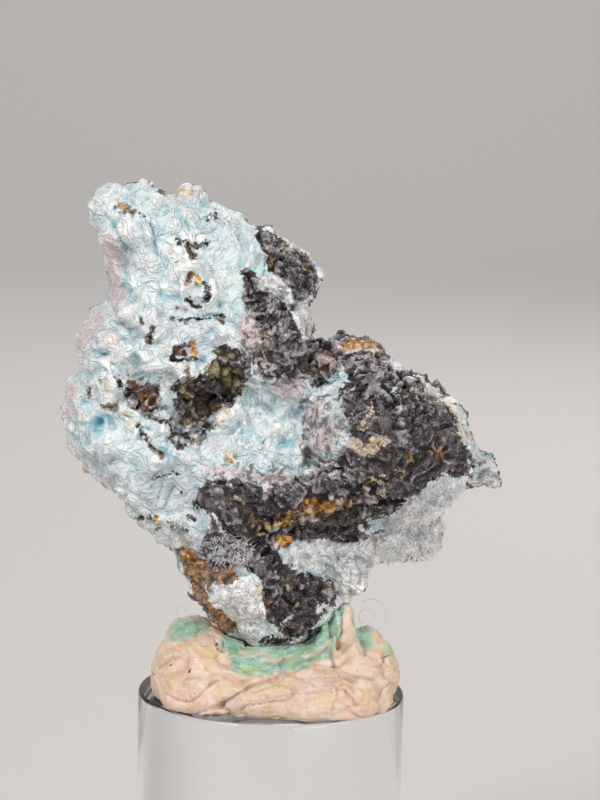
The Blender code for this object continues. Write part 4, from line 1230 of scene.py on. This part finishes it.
def stone_material():
    material, tree, shader, place = material_start("gibbsite_stone_look")
    rag = noise(tree, place, 0.45, 4.0, 0.65)
    rag_fine = noise(tree, place, 0.22, 3.0, 0.65)
    cloud = noise(tree, place, 4.5)
    clots = noise(tree, place, 1.1, 6.0, 0.72, 0.5)
    broad = field(tree, "broad")
    fine = field(tree, "fine")
    mottled = centred(tree, field(tree, "mottle"))

    # The crust: its pale tone is made bluer and darker in its hollows by painted shade and whiter on its
    # crests by painted light, with tints of its own here and there
    relief_shade_and_tone = added(tree, 0.5, (broad, 0.75), (fine, 1.7), (centred(tree, cloud), 1.1),
                 (centred(tree, rag), 0.4))
    crust = ramp(tree, relief_shade_and_tone, (0.0, (158, 198, 207)), (0.24, (196, 219, 223)), (0.44, (220, 232, 234)),
                 (0.64, (238, 242, 241)), (1.0, (250, 250, 247)))
    wrinkles = fold_lines(tree, place, 1.9, 0.4, 2.6)
    # Painted shade: grey blue along the fine fold lines of the crust
    fold_line_shade = times(tree, spread(tree, wrinkles, 0.1, 0.0), spread(tree, cloud, 0.35, 0.6, 0.1, 0.3))
    lilac = spread(tree, noise(tree, place, 6.0, 2.0), 0.5, 0.68, 0.0, 0.45)
    mint = spread(tree, noise(tree, place, 3.6, 2.0, 0.5, 0.6), 0.52, 0.68, 0.0, 0.4)
    crust = overlaid(
        tree,
        crust,
        (fold_line_shade, (150, 180, 190)),
        (lilac, (214, 214, 226)),
        (mint, (190, 219, 216)),
        # Blue tint, with painted shade in the cracks and pits where it is drawn
        (times(tree, covers(tree, "blue", 0.9, rag, 0.26), 0.55), (140, 194, 208)),
        (spread(tree, field(tree, "blue"), 0.7, 1.0, 0.0, 0.45), (96, 170, 198)),
        (times(tree, covers(tree, "grey", 1.6, rag, 0.25), 0.45), (172, 176, 184)),
        (times(tree, covers(tree, "pink", 2.0, rag, 0.25), 0.7), (226, 198, 201)),
    )
    white = spread(tree, field(tree, "pale"), 0.3, 0.6, 0.0, 0.65)
    # The pale crust's white fibres, with painted shade in the gaps between them
    white_fibres_and_gap_shade = ramp(tree, clots, (0.4, (150, 128, 126)), (0.47, (212, 202, 202)), (0.55, (250, 250, 250)))
    crust = mixed(tree, white, crust, white_fibres_and_gap_shade)

    # The oxide: near black in its pits by painted shade, mauve grey on its sinuous rims by painted glints
    rims = spread(tree, fold_lines(tree, place, 1.3, 0.5, 2.2), 0.04, 0.0)
    fine_rims = spread(tree, fold_lines(tree, place, 0.62, 0.5, 1.8), 0.07, 0.0)
    pit_shade_and_rim_glint = added(tree, 0.1, (broad, 0.5), (fine, 1.8), (centred(tree, rag_fine), 0.2), (rims, 0.5),
                  (fine_rims, 0.42), (spread(tree, mottled, -0.3, 0.2), 0.1))
    oxide = ramp(tree, pit_shade_and_rim_glint, (0.0, (18, 15, 16)), (0.22, (42, 36, 38)), (0.46, (88, 80, 84)),
                 (0.7, (156, 148, 154)), (0.95, (212, 207, 212)))
    veil = noise(tree, place, 2.8, 3.0, 0.6, 0.8)
    oxide = overlaid(
        tree,
        oxide,
        (spread(tree, veil, 0.52, 0.66, 0.0, 0.22), (190, 172, 174)),
        (spread(tree, veil, 0.48, 0.38, 0.0, 0.6), (30, 26, 28)),
        (spread(tree, noise(tree, place, 2.2), 0.52, 0.66, 0.0, 0.5), (74, 52, 40)),
    )

    # Clots of oxide in the crust, and threads and flakes of crust left on the oxide
    clot = spread(tree, added(tree, clots, (mottled, -0.1)), 0.47, 0.38)
    clot = times(tree, clot, spread(tree, mottled, -0.3, 0.1))
    crust = mixed(tree, times(tree, clot, 0.75), crust, mixed(tree, 0.5, oxide, tint(134, 108, 98)))
    threads = times(tree, rims, spread(tree, noise(tree, place, 1.7, 3.0, 0.6), 0.5, 0.6))
    flaky = spread(tree, field(tree, "pink"), 0.2, 0.6)
    flakes = spread(tree, added(tree, clots, (mottled, 0.13), (flaky, 0.05), (fine, 0.35)), 0.6, 0.63)
    bits = ramp(tree, rag_fine, (0.3, (168, 150, 150)), (0.5, (210, 197, 197)), (0.7, (236, 229, 228)))
    oxide = mixed(tree, times(tree, highest(tree, threads, flakes), 0.9), oxide, bits)
    bare = sums(tree, "SUBTRACT", 1.0, covers(tree, "pale", 1.4, rag))
    black = times(tree, covers(tree, "black", 1.4, rag), bare)
    colour = mixed(tree, black, crust, oxide)
    black = highest(tree, black, clot)

    stains = {}
    for name, ragged, shaded, strength, stops in STAINS:
        stains[name] = covers(tree, name, ragged, rag)
        # Painted shade and light: each stain darker in the hollows of the fine relief and lighter on its
        # crests
        shades = ramp(tree, added(tree, clots, (fine, shaded)), *stops)
        colour = mixed(tree, times(tree, stains[name], strength), colour, shades)
    stained = highest(tree, stains["olive"], stains["gold"], stains["brown"])

    # Waxy crust, glossier oxide and grains
    gloss = mixed_value(tree, black, spread(tree, rag, 0.3, 0.7, 0.24, 0.46),
                        spread(tree, rag_fine, 0.3, 0.7, 0.16, 0.42))
    gloss = mixed_value(tree, stained, gloss, 0.38)
    gloss = mixed_value(tree, stains["gold"], gloss, 0.2)

    grain = noise(tree, place, 0.16, 3.0, 0.6)
    crust_height = added(tree, noise(tree, place, 0.6, 3.0, 0.45, 0.8), (grain, 0.3),
                         (spread(tree, wrinkles, 0.0, 0.2), 1.2))
    oxide_height = added(tree, times(tree, rag_fine, 0.7), (rims, 0.9), (fine_rims, 0.7), (flakes, 0.6))
    plug(tree, shader, {
        "Base Color": colour,
        "Roughness": gloss,
        "Subsurface Weight": mixed_value(tree, highest(tree, black, stained), 0.12, 0.0),
        "Subsurface Radius": (0.7, 0.9, 1.0),
        "Subsurface Scale": 0.4 * MM,
        "Specular IOR Level": 0.6,
        "Normal": bumped(tree, mixed_value(tree, black, crust_height, oxide_height), 0.15, 1.0),
    })
    return material


def putty_material():
    material, tree, shader, place = material_start("mounting_putty_look")
    rag = noise(tree, place, 0.5, 4.0, 0.6)
    drawn_out = put(tree, "Mapping", {"Vector": place, "Scale": (0.35, 0.35, 1.0)})
    streak = noise(tree, drawn_out, 1.1, 4.0, 0.6, 1.0)
    base = ramp(tree, streak, (0.3, (208, 172, 148)), (0.5, (228, 200, 178)), (0.7, (236, 218, 202)))
    rosy = spread(tree, noise(tree, place, 5.0, 2.0), 0.45, 0.65, 0.0, 0.55)
    yellow = spread(tree, noise(tree, place, 3.0), 0.46, 0.64, 0.0, 0.75)
    chalky = spread(tree, noise(tree, place, 2.0, 4.0, 0.6), 0.5, 0.62, 0.0, 0.5)
    smudged = spread(tree, noise(tree, place, 1.4, 4.0, 0.65), 0.54, 0.7, 0.0, 0.5)
    base = overlaid(tree, base, (rosy, (226, 188, 176)), (yellow, (220, 190, 142)), (chalky, (240, 226, 210)),
                    (smudged, (192, 156, 134)))

    # Mint putty kneaded in, painted shade in its creases and hollows, and what lies on it
    fibre = noise(tree, drawn_out, 0.4, 4.0, 0.6, 1.4)
    shade = added(tree, streak, (centred(tree, fibre), 0.8))
    greens = ramp(tree, shade, (0.25, (104, 156, 134)), (0.42, (140, 186, 164)), (0.58, (170, 202, 184)),
                  (0.74, (216, 220, 202)))
    colour = mixed(tree, times(tree, covers(tree, "mint", 2.4, streak, 0.26), 0.93), base, greens)
    speck = spread(tree, noise(tree, place, 0.3, 1.0, 0.5), 0.735, 0.76)
    colour = overlaid(
        tree,
        colour,
        (times(tree, covers(tree, "lime", 0.8, rag, 0.25), 0.6), (192, 216, 150)),
        (times(tree, covers(tree, "beige", 0.4, rag, 0.1), 0.85), (230, 206, 184)),
        # Mauve: painted shade along the creases of the front, and mauve patches at random behind
        (times(tree, covers(tree, "mauve", 0.4, rag, 0.12), 0.6), (176, 150, 158)),
        # Painted shade: browner in the broad hollows of the putty
        (spread(tree, field(tree, "broad"), -0.03, -0.4, 0.0, 0.6), (186, 142, 118)),
        (highest(tree, covers(tree, "dirt", 0.7, rag), times(tree, speck, 0.7)), (74, 62, 60)),
    )
    height = added(tree, times(tree, noise(tree, place, 0.3), 0.6), (streak, 1.5))
    plug(tree, shader, {
        "Base Color": colour,
        "Roughness": spread(tree, rag, 0.3, 0.7, 0.5, 0.72),
        "Subsurface Weight": 0.25,
        "Subsurface Radius": (1.0, 0.7, 0.5),
        "Subsurface Scale": 0.8 * MM,
        "Normal": bumped(tree, height, 0.12, 0.8),
    })
    return material


def rod_material():
    material, tree, shader, place = material_start("clear_rod_look")
    drawn_lines = put(tree, "Mapping", {"Vector": place, "Scale": (1.0, 1.0, 0.01)})
    plug(tree, shader, {
        "Base Color": (0.97, 0.985, 0.985, 1.0),
        "Transmission Weight": 1.0,
        "IOR": 1.49,
        "Roughness": 0.015,
        "Normal": bumped(tree, noise(tree, drawn_lines, 1.6, 2.0), 0.02, 0.12),
    })
    return material


def fuzz_material():
    material, tree, shader, place = material_start("crystal_fuzz_look")
    cloud = noise(tree, place, 1.2)
    colour = ramp(tree, cloud, (0.35, (228, 234, 238)), (0.5, (250, 250, 250)), (0.65, (248, 240, 238)))
    plug(tree, shader, {
        "Base Color": colour,
        "Roughness": spread(tree, cloud, 0.3, 0.7, 0.25, 0.5),
        "Transmission Weight": 0.15,
    })
    return material


def lint_material():
    material, tree, shader, place = material_start("lint_look")
    cloud = noise(tree, place, 0.6, 2.0)
    plug(tree, shader, {
        "Base Color": ramp(tree, cloud, (0.35, (176, 166, 162)), (0.65, (226, 222, 220))),
        "Roughness": spread(tree, cloud, 0.3, 0.7, 0.45, 0.7),
    })
    return material


def stage_material():
    material, tree, shader, _ = material_start("plain_stage")
    plug(tree, shader, {"Base Color": tint(216, 211, 207), "Roughness": 0.8})
    return material


def dress(piece, material):
    """Gives the piece its look and its slot, and lets it ride on the part's one body."""
    piece.data.materials.clear()
    piece.data.materials.append(material)
    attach(piece, "root")


stone_skin = make_stone()
dress(stone_skin, stone_material())
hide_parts("gibbsite_stone")
putty_lump = make_putty()
dress(putty_lump, putty_material())
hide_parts("mounting_putty")
rod_glass = make_rod()
dress(rod_glass, rod_material())
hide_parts("clear_rod")
dress(make_fuzz(stone_skin), fuzz_material())
dress(make_lint(putty_lump), lint_material())

# The stage: a floor that bends up into a wall, five soft lights and the camera

# Sizes in mm
FLOOR_HALF = 1500.0
FLOOR_FRONT = -900.0
FLOOR_DROP = 0.05
BEND_START = 700.0
BEND_RADIUS = 500.0
WALL_TOP = 1500.0

# Each light's name, its place and what it looks at in mm, its width in mm, its power in watts and its colour
MIDDLE = (0.0, 0.0, 65.0)
WALL_FOOT = (0.0, 950.0, 0.0)
WHITE = (1.0, 1.0, 1.0)
LIGHTS = [
    ("key_light", (-260.0, -300.0, 420.0), MIDDLE, 160.0, 1.75, (1.0, 0.985, 0.965)),
    ("fill_light", (420.0, -320.0, 220.0), MIDDLE, 380.0, 0.7, (0.97, 0.985, 1.0)),
    ("low_light", (260.0, -380.0, 40.0), MIDDLE, 240.0, 0.8, WHITE),
    ("rim_light", (160.0, 420.0, 380.0), MIDDLE, 300.0, 0.7, WHITE),
    ("wall_light", (0.0, 650.0, 800.0), WALL_FOOT, 700.0, 2.2, WHITE),
]
ROOM_COLOUR = (0.86, 0.88, 0.9, 1.0)
ROOM_STRENGTH = 0.34


def make_stage():
    """A wide floor that bends up into a wall behind the part."""
    profile = [(FLOOR_FRONT, 0.0)]
    for angle in np.linspace(0, math.pi / 2, 17):
        profile.append((BEND_START + BEND_RADIUS * math.sin(angle), BEND_RADIUS * (1 - math.cos(angle))))
    profile.append((BEND_START + BEND_RADIUS, WALL_TOP))
    points = [(side * FLOOR_HALF * MM, y * MM, (z - FLOOR_DROP) * MM) for y, z in profile for side in (-1, 1)]
    faces = [(2 * i, 2 * i + 1, 2 * i + 3, 2 * i + 2) for i in range(len(profile) - 1)]
    mesh = bpy.data.meshes.new("stage_floor")
    mesh.from_pydata(points, [], faces)
    mesh.shade_smooth()
    mesh.materials.append(stage_material())
    floor = linked("stage_floor", mesh)


def add_light(name, place, aim, width, power, colour):
    """A square soft light."""
    light = bpy.data.lights.new(name, "AREA")
    light.size = width * MM
    light.energy = power
    light.color = colour
    obj = linked(name, light)
    obj.location = np.array(place) * MM
    away = np.array(place, float) - np.array(aim, float)
    z_axis = away / np.linalg.norm(away)
    x_axis = np.cross((0.0, 0.0, 1.0), z_axis)
    x_axis /= np.linalg.norm(x_axis)
    turn = Matrix(np.column_stack([x_axis, np.cross(z_axis, x_axis), z_axis]).tolist())
    obj.rotation_euler = turn.to_euler()


def make_camera():
    """The camera that sees what picture() works out."""
    camera = bpy.data.cameras.new("front_camera")
    camera.sensor_width = SENSOR
    camera.lens = SENSOR * FOCAL_LENGTH / PICTURE_HEIGHT
    camera.clip_start = 0.01
    obj = linked("front_camera", camera)
    obj.location = CAMERA_AT * MM
    obj.rotation_euler = Matrix(np.column_stack([RIGHT, UP, -FORWARD]).tolist()).to_euler()
    bpy.context.scene.camera = obj


make_stage()
for light in LIGHTS:
    add_light(*light)
world = bpy.data.worlds.new("pale_room")
world.use_nodes = True
background = world.node_tree.nodes["Background"]
plug(world.node_tree, background, {"Color": ROOM_COLOUR, "Strength": ROOM_STRENGTH})
bpy.context.scene.world = world
bpy.context.scene.view_settings.view_transform = "Standard"
make_camera()
